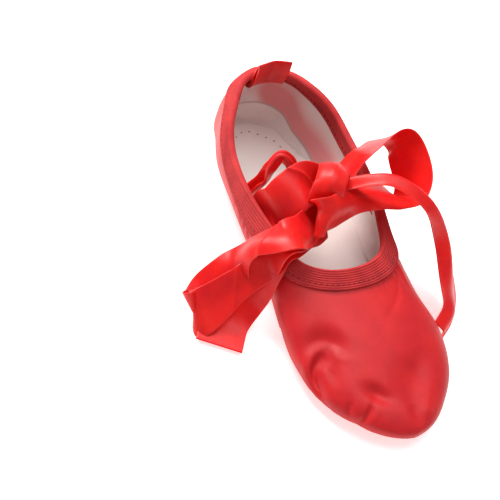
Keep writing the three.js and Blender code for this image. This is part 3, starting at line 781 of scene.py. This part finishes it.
@dataclass
class Upper:
    """The satin upper and its cotton lining."""

    stations: int = 250
    around: int = 240
    pleats: int = 40
    pleat_depth: float = 0.9
    pucker_pitch: float = 3.4
    pucker_depth: float = 0.5

    def surface(self) -> np.ndarray:
        """Rows of points over the whole last."""
        at = (1 - np.cos(np.pi * np.arange(self.stations + 1) / self.stations)) / 2
        angle = -np.pi / 2 + 2 * np.pi * np.arange(self.around + 1) / self.around
        at, angle = np.meshgrid(at, angle, indexing="ij")
        return LAST.point(at, angle)

    def opening(self, co: np.ndarray) -> np.ndarray:
        """True for the points over the collar's edge."""
        at = np.clip(0.5 - co[:, 1] / LENGTH, 0, 1)
        inside = (at > TOPLINE[0, 0]) & (at < TOPLINE[-1, 0])
        angle = LAST.topline_angle(np.clip(at, TOPLINE[0, 0], TOPLINE[-1, 0]))
        edge = LAST.plain_point(at, angle)
        s = LAST.section(at)
        return inside & (co[:, 2] > edge[:, 2] - 0.4) & (co[:, 2] > s["wide"])

    def cut_collar(self, obj: bpy.types.Object, reach: np.ndarray) -> None:
        """Deletes the faces that reach over the collar's edge."""
        only(obj)
        mesh = obj.data
        chosen = np.array([bool(reach[list(p.vertices)].any()) for p in mesh.polygons])
        corners = np.zeros(len(mesh.vertices), bool)
        for polygon in mesh.polygons:
            if chosen[polygon.index]:
                corners[list(polygon.vertices)] = True
        mesh.vertices.foreach_set("select", corners)
        mesh.edges.foreach_set("select", np.zeros(len(mesh.edges), bool))
        mesh.polygons.foreach_set("select", chosen)
        bpy.ops.object.mode_set(mode="EDIT")
        bpy.ops.mesh.select_mode(type="FACE")
        bpy.ops.mesh.delete(type="FACE")
        bpy.ops.object.mode_set(mode="OBJECT")

    def toe_pleats(self, co: np.ndarray) -> np.ndarray:
        """Depth of the gathers that run out from under the fore patch round the toe."""
        middle_x, middle_y = FORE.middle()
        x, y = co[:, 0] - middle_x, co[:, 1] - middle_y
        share = np.hypot(x / (FORE.width / 2), y / (FORE.length / 2))
        turn = np.arctan2(y, x)
        past = (share - 1) * FORE.length / 2
        uneven = turn * self.pleats + 0.9 * np.sin(turn * 7) + 0.6 * np.sin(turn * 13 + 1)
        fold = (0.5 + 0.5 * np.cos(uneven)) ** 2.2
        deep = self.pleat_depth * (0.7 + 0.3 * np.sin(turn * 11 + 0.5))
        low = 1 - ease(co[:, 2], 1.5, 8.0)
        round_toe = 1 - ease(y, 2, 26)
        return -deep * fold * ease(past, -3.0, 1.5) * low * round_toe

    def puckers(self, co: np.ndarray, rim: np.ndarray) -> np.ndarray:
        """Depth of the small gathers below the elastic's lower edge."""
        run = np.concatenate([[0], np.cumsum(np.linalg.norm(np.diff(rim, axis=0), axis=1))])
        k, far = nearest_of(rim, co)
        x, y = rim[k, 0], rim[k, 1]
        gathered = ease(x, 4, 16) * (y < 0) + ease(-x, 30, 37) * 0.6
        wave = run[k] / self.pucker_pitch * 2 * np.pi
        fold = (0.5 + 0.5 * np.sin(wave + 1.4 * np.sin(wave / 4.7))) ** 1.5
        return -self.pucker_depth * (0.2 + 0.8 * gathered) * fold * np.exp(-far / 4.5) * (co[:, 2] > 12)

    def lining_marks(self, obj: bpy.types.Object) -> None:
        """Marks the painted red light where the red cloth shines through the right wall, and the seam of
        the lower lining strip.
        """
        x, y, z = coordinates(obj).T
        over = z - np.interp(y, LINING_SEAM[:, 0], LINING_SEAM[:, 1])
        # painted red light shining through the right wall, and more of it at the back of the heel
        glow = np.exp(-(((over - 5) / 10) ** 2)) * ease(over, -0.3, 0.5) * ease(y, 30, 62)
        glow = glow * ease(x, 2, 12)
        glow = glow + 0.55 * ease(y, 78, 96) * ease(over, 2, 10) * ease(x, -6, 8)
        mark(obj, "glow", np.clip(glow, 0, 0.9))
        mark(obj, "seam", np.exp(-((over / 0.45) ** 2)) * 0.75 * (y > -30))

    def build(self, binding: "Binding") -> None:
        """Makes the satin and the lining.

        Args:
            binding: The elastic tape, which is laid on the last and gathers the satin below it.
        """
        satin = merged(grid_piece("satin_upper", self.surface(), (LENGTH * 1.2, WIDTH * 2.4)))
        skin = Skin(satin)
        lining = satin.copy()
        lining.data = satin.data.copy()
        lining.name = lining.data.name = "cotton_lining"
        bpy.context.collection.objects.link(lining)
        co, out = skin.co, skin.normal
        reach = self.opening(co)
        binding.lay(skin)
        creased = sum(crease.lift(co, out) for crease in CREASES)
        creased = creased * ease(binding.distance(co), 0.0, 3.0)
        place(lining, co + out * (creased - WALL)[:, None])
        self.cut_collar(lining, reach)
        lining.data.flip_normals()
        self.lining_marks(lining)
        moved = creased + self.toe_pleats(co) + self.puckers(co, binding.rows[-1][0])
        place(satin, co + out * moved[:, None])
        self.cut_collar(satin, reach)
        mark(satin, "selvage", np.zeros(len(satin.data.vertices)))
        dress(satin, Finish.SATIN, "satin", "upper")
        dress(lining, Finish.LINING, "cotton")


@dataclass
class Binding:
    """Elastic tape folded over the collar's edge, with its stitches."""

    count: int = 210
    steps: int = 48
    outer: float = 1.2
    inner: float = 2.5
    fold: float = 1.3
    girth: float = 28.0
    ribs: int = 8
    rib_height: float = 0.2
    stitch_at: float = 0.74
    rows: list[tuple[np.ndarray, np.ndarray]] | None = None

    def lay(self, skin: Skin) -> None:
        """Works out lines on the surface from the collar's edge down, each with its normals."""
        spots, out = skin.touch(LAST.topline(self.count))
        self.rows = [(spots, out)]
        along = np.roll(spots, -1, axis=0) - np.roll(spots, 1, axis=0)
        away = unit(np.cross(out, along))
        for _ in range(self.steps):
            spots, out = skin.touch(spots + away * TAPE / self.steps)
            away = unit(away - out * (away * out).sum(1, keepdims=True))
            self.rows.append((spots, out))

    def distance(self, co: np.ndarray) -> np.ndarray:
        """How far each point lies beyond the tape's lower edge."""
        return nearest_of(self.rows[self.steps // 2][0], co)[1] - TAPE / 2

    def build(self) -> None:
        """Makes the tape and both rows of stitches."""
        share = np.linspace(0, 1, self.steps + 1)
        wave = np.cos(share * self.ribs * 2 * np.pi)
        rib = self.rib_height * wave
        outer = [p + n * (self.outer + r) for (p, n), r in zip(self.rows, rib)]
        inner = [p - n * (self.inner - 0.1 + r * 0.6) for (p, n), r in zip(self.rows, rib)]
        edge, out = self.rows[0]
        up = -unit(np.cross(out, np.roll(edge, -1, axis=0) - np.roll(edge, 1, axis=0)))
        middle, half = (self.outer - self.inner) / 2, (self.outer + self.inner) / 2
        cap = [edge + out * (middle + half * math.cos(a)) + up * self.fold * math.sin(a)
               for a in np.linspace(0, math.pi, 12)[1:-1]]
        last_edge, last_out = self.rows[-1]
        hidden = [last_edge - last_out * 1.7, last_edge + last_out * 0.2]
        rings = outer[::-1] + cap + inner + hidden
        rings.append(rings[0])
        # painted shade: darkness in the grooves between the ribs on both faces of the tape, which dark
        # carries ring by ring
        groove = np.clip(-wave * 1.4 - 0.2, 0, 1) ** 1.5 * 0.5
        dark = np.concatenate([groove[::-1], np.zeros(len(cap)), groove, np.zeros(3)])
        points = np.stack(rings)
        points = np.concatenate([points, points[:, :1]], axis=1)
        size = (self.girth, lengths(points[0]))
        tape = grid_piece("elastic_binding", points, size, groove=dark[:, None])
        dress(merged(tape), Finish.ELASTIC, "elastic", "binding")
        spots, out = self.rows[round(self.steps * self.stitch_at)]
        sides = (("binding_stitches_outside", self.outer), ("binding_stitches_inside", -self.inner))
        for name, offset in sides:
            line = spots + out * offset
            line = np.concatenate([line, line[:1]])
            normal = np.concatenate([out, out[:1]]) * math.copysign(1, offset)
            stitches = Stitches(name, length=1.9, gap=0.9, radius=0.3).sew(line, normal)
            dress(stitches, Finish.DARK_THREAD, "elastic")


@dataclass(frozen=True)
class Patch:
    """A suede sole patch with its two rows of stitches."""

    name: str
    node: str
    gap: float
    length: float
    width: float
    toe_end: bool
    rows: tuple[float, ...] = (4.0, 8.0)
    around: int = 160
    stitch_around: int = 400
    channel_depth: float = 0.45
    channel_width: float = 0.55
    stitch_proud: float = 0.12

    def middle(self) -> tuple[float, float]:
        """The patch's middle on the floor."""
        end = LENGTH / 2 - self.gap - self.length / 2
        y = -end if self.toe_end else end
        return float(LAST.section(np.array(0.5 - y / LENGTH))["shift"]), y

    def spots(self, inset: float, count: int) -> tuple[np.ndarray, np.ndarray]:
        """Places round the patch at an inset from its edge."""
        x, y = self.middle()
        turn = np.linspace(0, 2 * np.pi, count + 1)
        return x + (self.width / 2 - inset) * np.cos(turn), y + (self.length / 2 - inset) * np.sin(turn)

    def bottom(self, x: np.ndarray, y: np.ndarray, inset: float) -> np.ndarray:
        """Height of the patch's underside, with its sewn channels."""
        z = np.maximum(LAST.under_offset(x, y, -SOLE - GAP), 0.0)
        for row in self.rows:
            z = z + self.channel_depth * math.exp(-(((inset - row) / self.channel_width) ** 2))
        return z

    def build(self) -> None:
        """Makes the patch and its stitches."""
        wide = min(self.width, self.length) / 2
        steps = np.concatenate([np.linspace(wide, 10, 16)[:-1], np.linspace(10, 0.5, 39)])
        insets = [float(v) for v in steps]
        rings = []
        for inset in insets:
            x, y = self.spots(inset, self.around)
            rings.append(np.stack([x, y, self.bottom(x, y, inset)], axis=-1))
        x, y = self.spots(0.0, self.around)
        low = np.maximum(LAST.under_offset(x, y, -SOLE - GAP), 0.0)
        top = LAST.under_offset(x, y, -GAP)
        for share in (0.25, 0.6, 0.9):
            rings.append(np.stack([x, y, low + (top - low) * share], axis=-1))
        for inset in [0.4] + insets[::-3]:
            x, y = self.spots(inset, self.around)
            rings.append(np.stack([x, y, LAST.under_offset(x, y, -GAP)], axis=-1))
        for end in (0, -1):
            pole = np.array([*self.middle(), rings[end][:, 2].mean()])
            rings[end] = np.tile(pole, (self.around + 1, 1))
        dress(merged(grid_piece(self.name, np.stack(rings), (30, 200))), Finish.SUEDE, "suede", self.node)
        for i, row in enumerate(self.rows):
            x, y = self.spots(row, self.stitch_around)
            line = np.stack([x, y, self.bottom(x, y, row) - self.stitch_proud], axis=-1)
            down = np.tile([0.0, 0.0, -1.0], (len(line), 1))
            stitches = Stitches(f"{self.name}_stitches_{i + 1}", length=2.0, gap=0.9, radius=0.34)
            dress(stitches.sew(line, down), Finish.SOLE_THREAD, "suede")


FORE = Patch("suede_fore", "sole_fore", 17.0, 62.0, 60.0, True)
HEEL = Patch("suede_heel", "sole_heel", 8.5, 45.0, 40.0, False)


@dataclass
class Sock:
    """The padded cotton insole."""

    wide: float = 0.76
    long: float = 0.955
    stitch_inset: float = 4.5
    stitch_reach: float = 31.0
    rows: int = 150
    cols: int = 60

    def half(self, y: np.ndarray) -> tuple[np.ndarray, np.ndarray]:
        """The insole's middle and half-width at a place along the shoe."""
        s = LAST.section(np.clip(0.5 - y / self.long / LENGTH, 0, 1))
        return s["shift"], s["half"] * self.wide

    def build(self) -> None:
        """Makes the insole and the heel's stitches."""
        at = (1 - np.cos(np.pi * np.arange(self.rows + 1) / self.rows)) / 2
        y = LENGTH * (0.5 - at) * self.long
        middle, half = self.half(y)
        u = np.sin(np.linspace(-np.pi / 2, np.pi / 2, self.cols))
        x = middle[:, None] + half[:, None] * u[None]
        yy = np.repeat(y[:, None], self.cols, axis=1)
        low = LAST.under_offset(x, yy, WALL + GAP)
        rounded = np.sqrt(np.clip(1 - np.abs(u[None]) ** 10, 0, 1))
        rounded = rounded * ease(half[:, None], 0.0, 4.0)
        thick = (INSOLE + 0.25 * np.sin(yy / 9.0) * np.sin(x / 7.0)) * rounded
        top = np.stack([x, yy, low + thick], axis=-1)
        bottom = np.stack([x, yy, low], axis=-1)[:, ::-1]
        points = np.concatenate([top, bottom[:, 1:]], axis=1)
        # the insole takes no painted red light and no seam
        none = np.zeros((1, 1))
        sock = grid_piece("cotton_insole", points, (LENGTH, WIDTH * 1.5), glow=none, seam=none)
        dress(merged(sock), Finish.SOCK, "cotton", "insole")
        turn = np.linspace(-0.15, np.pi + 0.15, 60)
        y = LENGTH / 2 * self.long - self.stitch_inset - self.stitch_reach * (1 - np.sin(turn))
        middle, half = self.half(y)
        side = np.cos(turn) / np.maximum(np.abs(np.cos(turn)), 0.75)
        x = middle + np.maximum(half - self.stitch_inset, 1) * side
        line = np.stack([x, y, LAST.under_offset(x, y, WALL + GAP) + INSOLE + 0.05], axis=-1)
        upward = np.tile([0.0, 0.0, 1.0], (len(line), 1))
        stitches = Stitches("insole_stitches", length=1.2, gap=3.6, radius=0.4)
        dress(stitches.sew(line, upward), Finish.SOCK_THREAD, "cotton")


@dataclass
class PullLoop:
    """A hairpin of satin ribbon sewn inside the heel."""

    width: float = 19.0
    tall: float = 15.5
    lean: float = 1.2
    tail: float = 11.0
    thick: float = 0.9
    eye: float = 2.0

    def heel_point(self, down: float, deep: float) -> np.ndarray:
        """A point of the heel's middle line: y and z, down from the collar and in from the surface."""
        at = np.array([TOPLINE[0, 0], 0.022, 0.01, 0.003])
        crown = LAST.point(at, np.full(4, np.pi / 2))[:, 1:]
        high = float(LAST.section(np.array(0.0))["high"])
        back = np.array([[LENGTH / 2, high * share] for share in (0.9, 0.7, 0.5)])
        line = catmull_rom(np.vstack([crown, back]), np.linspace(0, 1, 200), True)
        run = np.concatenate([[0], np.cumsum(np.linalg.norm(np.diff(line, axis=0), axis=1))])
        k = min(int(np.searchsorted(run, max(down, 0))), len(line) - 2)
        along = unit(line[k + 1] - line[k])
        return line[k] + along * min(down, 0) + np.array([along[1], -along[0]]) * deep

    def route(self) -> np.ndarray:
        """The hairpin seen from the side: y and z from the outer leg's end to the inner one's."""
        first = WALL + TAPE_INNER + 8 * GAP + self.thick / 2
        second = first + self.thick + GAP
        over = self.heel_point(-1 - 2 * GAP, (first + second) / 2)
        top = over + np.array([-self.lean, self.tall])
        eye = over * 0.45 + top * 0.55
        bulge = np.array([self.eye / 2, self.eye / 6])
        downs = (self.tail, self.tail / 2, 0)
        outer = [self.heel_point(down, first) for down in downs]
        inner = [self.heel_point(down, second) for down in downs[::-1]]
        return np.array([*outer, eye + bulge, top, eye - bulge, *inner])

    def build(self) -> None:
        """Makes the loop, which follows the curve of the heel from side to side."""
        line = catmull_rom(self.route(), np.linspace(0, 1, 91), True)
        topline = LAST.topline(40)[:20]
        x = np.linspace(-1, 1, 29) * self.width / 2
        beside = np.stack([np.interp(np.abs(x), topline[:, 0], topline[:, k]) for k in (1, 2)], axis=-1)
        points = np.zeros((len(line), len(x), 3))
        points[..., 0] = x
        points[..., 1:] = line[:, None] + (beside - topline[0, 1:])[None]
        t = np.linspace(0, 1, len(line))[:, None]
        rise = 2.5 * (x[None] / (self.width / 2)) ** 2 + 5.0 * ease(x[None], 0.0, self.width / 2)
        points[..., 2] += rise * ease(t, 0.78, 1.0)
        ripple = 0.3 * np.sin(t * 9 + x[None] * 0.5)
        points[..., 1] -= ripple * ease(t, 0.2, 0.4) * (1 - ease(t, 0.6, 0.8))
        edge = ease(np.abs(x)[None], 8.6, 9.3) * 0.5
        loop = grid_piece("satin_pull_loop", points, (lengths(line), self.width), selvage=edge)
        add_modifier(loop, "SOLIDIFY", thickness=self.thick * 0.8 * MM, offset=0.0)
        dress(loop, Finish.RIBBON, "satin", "pull_loop")


Row = tuple[float, ...]

# Middle of the ribbon, direction of its width, and how much of the width is spread.
ROUTES: dict[str, list[Row]] = {
    "ribbon_side_left": [
        (-32.2, 20.5, 27, 0, -1, 0, 0.9), (-28.8, 18.6, 35, 0.3, -0.93, -0.1, 0.95),
        (-25.8, 16.4, 39.8, 0.48, -0.83, -0.29, 0.94), (-20.3, 17.4, 46.4, 0.48, -0.83, -0.29, 0.96),
        (-13.9, 19.7, 49.0, 0.44, -0.84, -0.32, 0.95), (-7.7, 22.7, 48.0, 0.29, -0.74, -0.61, 0.89),
        (-0.9, 24.2, 44.9, 0.14, -0.56, -0.81, 0.69), (4.8, 23.5, 42.3, 0.08, -0.60, -0.80, 0.54),
    ],
    "ribbon_side_right": [
        (31.8, 21.5, 27, -0.05, -1, 0, 0.85), (26.5, 21, 36, -0.15, -1, 0, 0.8),
        (18, 18.5, 39, 0.1, -0.8, -0.6, 0.7), (3, 16, 39, 0, -0.6, -0.8, 0.6),
    ],
    "ribbon_slack_loop": [
        (-32, 36.2, 28, 0.05, -1, 0, 0.39), (-25, 35.4, 38, 0.1, -0.7, 0.7, 0.39),
        (-23, 34.9, 48, -0.1, -0.6, 0.8, 0.39), (-18.8, 36.2, 52.7, -0.5, -0.7, 0.5, 0.39),
        (-14.2, 34.8, 50.3, -0.6, -0.7, 0.4, 0.39), (-9, 30.1, 42.8, -0.6, -0.4, 0.7, 0.39),
        (0, 18, 41, -0.6, -0.4, 0.7, 0.39),
    ],
    "loop_right": [
        (4, 18, 44, -0.2, -0.8, 0.5, 0.5), (14, 25, 46, -0.1, -0.9, 0.4, 0.65),
        (22, 30, 50, -0.2, -0.8, 0.5, 0.83), (30.2, 33.2, 53.8, -0.1, -0.7, 0.7, 1),
        (39, 36, 56, 0, -0.6, 0.8, 1), (47.2, 32.2, 55.8, 0.3, -0.4, 0.9, 1),
        (49, 22, 52, 0.5, -0.4, 0.8, 1), (48.3, 12.4, 46.8, 0.4, -0.6, 0.7, 1),
        (43.4, 6.4, 41.9, 0.15, -0.75, 0.6, 1), (34.6, 7.7, 43.6, -0.1, -0.95, 0.3, 0.95),
        (25, 10, 45, -0.3, -0.95, 0.1, 0.85), (12, 8.4, 47.6, -0.35, -0.85, -0.3, 0.68),
        (-2.8, 1.5, 49.7, -0.40, -0.63, -0.67, 0.74), (-11.3, -1.4, 50.8, -0.42, -0.61, -0.67, 0.82),
        (-13.0, 0.2, 48.0, -0.34, -0.67, -0.66, 0.74), (-9.3, 2.8, 43.8, -0.32, -0.68, -0.66, 0.6),
        (-2.0, 8.0, 40.5, -0.29, -0.70, -0.65, 0.45),
    ],
    "tail_right": [
        (2, 16, 49, 0.6, 0.6, -0.5, 0.3), (10, 13, 54, 0.5, 0.6, -0.6, 0.32),
        (17.5, 10, 58, 0.5, 0.6, -0.7, 0.4), (27.7, 4.7, 61, 0.6, 0.5, -0.6, 0.5),
        (42.7, -7.3, 54.6, 0.6, 0.5, -0.6, 0.52), (55.2, -17.5, 35.7, 0.77, 0.61, -0.16, 0.62),
        (57, -35, 17.5, 0.77, 0.39, -0.44, 0.95), (53.5, -46, 12.5, 0.64, 0.01, -0.76, 0.85),
        (43.6, -54.5, 9, 0.5, -0.1, -0.8, 0.8),
    ],
    "loop_left": [
        (-2.9, 6.1, 35.3, -0.01, -0.82, -0.57, 0.7), (-11.3, 3.0, 37.6, -0.11, -0.9, -0.42, 0.85),
        (-21.0, -2.2, 42.0, -0.14, -0.96, -0.2, 0.76), (-32.2, -5.8, 45.9, -0.2, -0.96, 0.18, 0.83),
        (-45.4, -1.6, 35.7, -0.47, -0.88, -0.11, 0.61),
        (-52.6, -2.3, 21.9, -0.06, -0.75, -0.66, 0.81), (-63.3, -6.4, 12.8, 0, -0.82, -0.57, 0.96),
        (-70.3, -12.0, 7.6, 0.12, -0.85, -0.51, 1), (-74.6, -13, 7, 0.12, -0.85, -0.51, 1),
        (-73.2, -14.4, 8.2, 0.15, -0.85, -0.5, 1), (-66.7, -13.3, 11.5, 0.15, -0.84, -0.53, 0.9),
        (-56.5, -11.1, 18.6, 0.2, -0.78, -0.59, 0.72), (-47.8, -9.9, 24.6, 0.05, -0.79, -0.61, 0.66),
        (-41.5, -9.4, 31.6, 0.01, -0.81, -0.59, 0.71),
        (-34.8, -6.9, 42.3, -0.2, -1, 0.1, 0.85), (-22.4, -2.9, 40.4, -0.2, -1, 0, 0.7),
        (-13, 2, 36.5, -0.2, -1, 0, 0.55), (-3, 8, 34, -0.2, -1, 0, 0.5),
    ],
    "tail_left": [
        (-1, 10, 33.5, -0.2, -1, 0, 0.45), (-13, 1.5, 34.3, -0.2, -1, 0, 0.5),
        (-23, -3, 36.5, -0.2, -1, 0, 0.65), (-33, -6, 37, -0.2, -1, 0.1, 0.85),
        (-39.5, -9.5, 30, 0.1, -1, 0.1, 0.9), (-43.5, -11, 20, 0.3, -0.9, 0, 0.95),
        (-50, -13, 10.5, 0.7, -0.7, 0, 1), (-58.9, -19, 4.2, 0.83, -0.56, 0, 1),
        (-67.1, -30.6, 2, 0.83, -0.56, 0, 1),
    ],
    "knot": [
        (7.9, 22.1, 43.2, 0.83, -0.54, 0.11, 0.62), (6.3, 23.3, 51.2, 0.80, -0.60, 0.05, 0.65),
        (3.1, 21.4, 56.1, 0.80, -0.60, 0.05, 0.64), (-0.8, 16.2, 58.3, 0.84, -0.53, 0.13, 0.66),
        (-4.3, 11.5, 57.0, 0.87, -0.44, 0.21, 0.65), (-6.3, 9.1, 52.9, 0.90, -0.34, 0.29, 0.69),
        (-5.7, 9.3, 48.0, 0.90, -0.29, 0.32, 0.68), (-2.7, 10.4, 42.4, 0.90, -0.26, 0.35, 0.52),
    ],
}


@dataclass
class KnotCore:
    """The gathered cloth inside the knot."""

    middle: tuple[float, float, float] = (0.5, 13.5, 43.5)
    radii: tuple[float, float, float] = (7.0, 9.5, 6.5)
    pleats: int = 9

    def build(self) -> None:
        """Makes the core."""
        bpy.ops.object.select_all(action="DESELECT")
        bpy.ops.mesh.primitive_uv_sphere_add(segments=72, ring_count=36, radius=1, location=(0, 0, 0))
        core = bpy.context.object
        core.name = core.data.name = "knot_core"
        co = coordinates(core) * MM
        turn = np.arctan2(co[:, 2], co[:, 0])
        pleat = 1 + 0.07 * np.cos(turn * self.pleats + 3 * co[:, 1]) * (1 - co[:, 1] ** 2)
        place(core, co * np.array(self.radii) * pleat[:, None] + np.array(self.middle))
        core.data.polygons.foreach_set("use_smooth", np.ones(len(core.data.polygons), bool))
        mark(core, "selvage", np.zeros(len(co)))
        dress(core, Finish.RIBBON, "ribbon", "knot")


@dataclass(frozen=True)
class Ridge:
    """A soft fold across a ribbon.

    Its ends are given by row number and by place across the width, from -1 to 1.
    """

    start: tuple[float, float]
    end: tuple[float, float]
    width: float
    height: float


@dataclass
class Ribbon:
    """One stretch of satin ribbon along its rows."""

    node: str
    folds: float = 1.0
    phase: float = 0.6
    gather: float = 0.35
    twist: float = 1.0
    arch: tuple[float, ...] = (0.0, 0.0)
    bow: tuple[float, ...] = (0.0, 0.0)
    ridges: tuple[Ridge, ...] = ()
    per_row: int = 16
    across: int = 36
    thick: float = 0.4

    def spread(self, values: tuple[float, ...], t: np.ndarray) -> np.ndarray:
        """Reads a few values at places along the ribbon."""
        return np.interp(t, np.linspace(0, 1, len(values)), values)[:, None]

    def relief(self, t: np.ndarray, u: np.ndarray, wide: np.ndarray, length: float,
               rows: int) -> np.ndarray:
        """Height of the cloth over its flat form.

        Args:
            t: Places along the ribbon, from 0 to 1.
            u: Places across it, from -1 to 1.
            wide: How much of the width is spread at each place along.
            length: The ribbon's length.
            rows: How many rows its route has.

        Returns:
            A height in millimetres for each place along and across.
        """
        depth = RIBBON / math.pi * np.sqrt(np.clip(wide - wide**2, 0, 1)) / self.folds * self.gather
        wave = np.sin(u[None] * self.folds * math.pi + self.phase + t[:, None] * self.twist)
        height = depth[:, None] * wave + self.spread(self.arch, t) * (1 - u[None] ** 2)
        s = t[:, None] * length
        v = u[None] * wide[:, None] * RIBBON / 2
        for ridge in self.ridges:
            a = np.array([ridge.start[0] / (rows - 1) * length, ridge.start[1] * RIBBON / 2])
            b = np.array([ridge.end[0] / (rows - 1) * length, ridge.end[1] * RIBBON / 2])
            along = (b - a) / np.linalg.norm(b - a)
            p = (s - a[0]) * along[0] + (v - a[1]) * along[1]
            q = (v - a[1]) * along[0] - (s - a[0]) * along[1]
            beyond = np.maximum(np.maximum(-p, p - np.linalg.norm(b - a)), 0)
            height = height + ridge.height * np.exp(-np.abs(q) / ridge.width - (beyond / 6) ** 2)
        return height

    def build(self) -> None:
        """Makes the ribbon."""
        rows = np.array(ROUTES[self.node])
        t = np.linspace(0, 1, (len(rows) - 1) * self.per_row + 1)
        middle = catmull_rom(rows[:, :3], t, True)
        across = catmull_rom(rows[:, 3:6], t, False)
        wide = np.clip(catmull_rom(rows[:, 6:7], t, False)[:, 0], 0.15, 1)
        along = unit(np.gradient(middle, axis=0))
        face = unit(np.cross(along, across))
        side = np.cross(face, along)
        u = np.linspace(-1, 1, self.across + 1)
        relief = self.relief(t, u, wide, lengths(middle), len(rows))
        spread = side[:, None, :] * (u[None, :, None] * wide[:, None, None] * RIBBON / 2)
        sweep = along[:, None, :] * (self.spread(self.bow, t) * u[None] ** 2)[..., None]
        points = middle[:, None, :] + spread + sweep + face[:, None, :] * relief[..., None]
        points[..., 2] = np.maximum(points[..., 2], 0.5)
        edge = ease(np.abs(u)[None], 0.93, 0.99) * 0.6
        obj = grid_piece(f"{self.node}_satin", points, (lengths(middle), RIBBON), selvage=edge)
        add_modifier(obj, "SOLIDIFY", thickness=self.thick * MM, offset=0.0)
        dress(obj, Finish.RIBBON, "ribbon", self.node)


RIBBONS = (
    Ribbon("knot", folds=2.0, gather=0.12, arch=(1.5, 3.0, 3.4, 3.4, 2.2, 0.6, 0.0),
           bow=(0, 0, 1.0, 0, 0, -1.0)),
    Ribbon("ribbon_side_left", arch=(0, -0.6, -1.2, -0.8, 0.4, 0.8, 0), gather=0.2,
           ridges=(Ridge((3.9, -1.0), (5.4, 0.3), 1.8, -1.6),)),
    Ribbon("ribbon_side_right", gather=0.4),
    Ribbon("ribbon_slack_loop", gather=1.1, folds=1.5),
    Ribbon("loop_right", arch=(1, 1, 0, 0, 0, 0, 0, 0, 0.6, 1.6, 2.2, 1.2, -0.5, 0), gather=0.15,
           bow=(0,) * 12 + (1.5, 4.0, 4.0, 2.0, 0)),
    Ribbon("tail_right", gather=0.75, phase=1.2),
    Ribbon("loop_left", gather=0.15, arch=(0, 0.8, 1.4, 0.8, 0, 0, 0, 0, 0, 0),
           ridges=(Ridge((3.3, -0.8), (4.0, 1.0), 1.4, 1.0),
                   Ridge((12.1, -1.0), (10.6, 0.7), 1.6, -1.2))),
    Ribbon("tail_left", gather=0.15, arch=(0, 0, 0, 0.8, 0.6, 0)),
)


@dataclass
class Studio:
    """Floor, light and the photographer's camera."""

    azimuth: float = -40.23
    elevation: float = 47.95
    roll: float = 21.87
    distance: float = 633.77
    aim: tuple[float, float, float] = (-38.64, 8.07, 20.0)
    focal: float = 93.6
    floor_glow: float = 0.6
    sky: float = 0.32

    def axes(self) -> tuple[Vector, Vector, Vector]:
        """The camera's right, up and backward directions."""
        az, el, roll = (math.radians(v) for v in (self.azimuth, self.elevation, self.roll))
        back = Vector((math.sin(az) * math.cos(el), -math.cos(az) * math.cos(el), math.sin(el)))
        right = Vector((math.cos(az), math.sin(az), 0))
        up = back.cross(right)
        c, s = math.cos(roll), math.sin(roll)
        return right * c + up * s, up * c - right * s, back

    def camera(self) -> None:
        """Adds the camera."""
        right, up, back = self.axes()
        bpy.ops.object.camera_add()
        camera = bpy.context.object
        camera.name = "photo_camera"
        turn = Matrix((right, up, back)).transposed().to_4x4()
        camera.matrix_world = Matrix.Translation((Vector(self.aim) + back * self.distance) * MM) @ turn
        camera.data.lens = self.focal
        camera.data.sensor_width = 36
        camera.data.clip_start, camera.data.clip_end = 0.01, 20
        bpy.context.scene.camera = camera

    def lamp(self, name: str, direction: Vector, size: float, power: float, colour: Colour) -> None:
        """Adds a soft light that looks at the shoe from a direction."""
        middle = Vector((0, 0, 0.02))
        bpy.ops.object.light_add(type="AREA", location=middle + direction.normalized() * 1.2)
        lamp = bpy.context.object
        lamp.name = name
        lamp.data.shape = "DISK"
        lamp.data.size = size
        lamp.data.energy = power
        lamp.data.color = colour
        lamp.rotation_mode = "QUATERNION"
        lamp.rotation_quaternion = direction.to_track_quat("Z", "Y")

    def build(self) -> None:
        """Adds the floor, the lights and the world."""
        self.camera()
        right, up, back = self.axes()
        bpy.ops.object.select_all(action="DESELECT")
        bpy.ops.mesh.primitive_plane_add(size=6, location=(0, 0, -0.0002))
        floor = bpy.context.object
        floor.name = "floor"
        g = Graph("pale_floor")
        g.shader.inputs["Base Color"].default_value = (0.92, 0.92, 0.92, 1)
        g.shader.inputs["Roughness"].default_value = 0.9
        g.shader.inputs["Emission Color"].default_value = (1, 1, 1, 1)
        g.shader.inputs["Emission Strength"].default_value = self.floor_glow
        floor.data.materials.append(g.material)
        key = up * 1.1 - right * 0.28 + back * 0.36
        self.lamp("key", key, size=0.55, power=15, colour=(1.0, 0.98, 0.95))
        self.lamp("fill", Vector((0.15, 0.1, 1.0)), size=1.0, power=7.5, colour=(1.0, 1.0, 1.0))
        world = bpy.data.worlds.new("studio")
        world.use_nodes = True
        background = world.node_tree.nodes["Background"]
        background.inputs["Color"].default_value = (1, 1, 1, 1)
        background.inputs["Strength"].default_value = self.sky
        scene = bpy.context.scene
        scene.world = world
        scene.view_settings.view_transform = "Standard"


def main() -> None:
    """Builds the shoe piece by piece."""
    logging.basicConfig(level=logging.INFO, format="%(name)s %(message)s")
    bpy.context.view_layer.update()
    Studio().build()
    binding = Binding()
    Upper().build(binding)
    binding.build()
    FORE.build()
    HEEL.build()
    Sock().build()
    PullLoop().build()
    KnotCore().build()
    for ribbon in RIBBONS:
        ribbon.build()


if __name__ == "__main__":
    main()
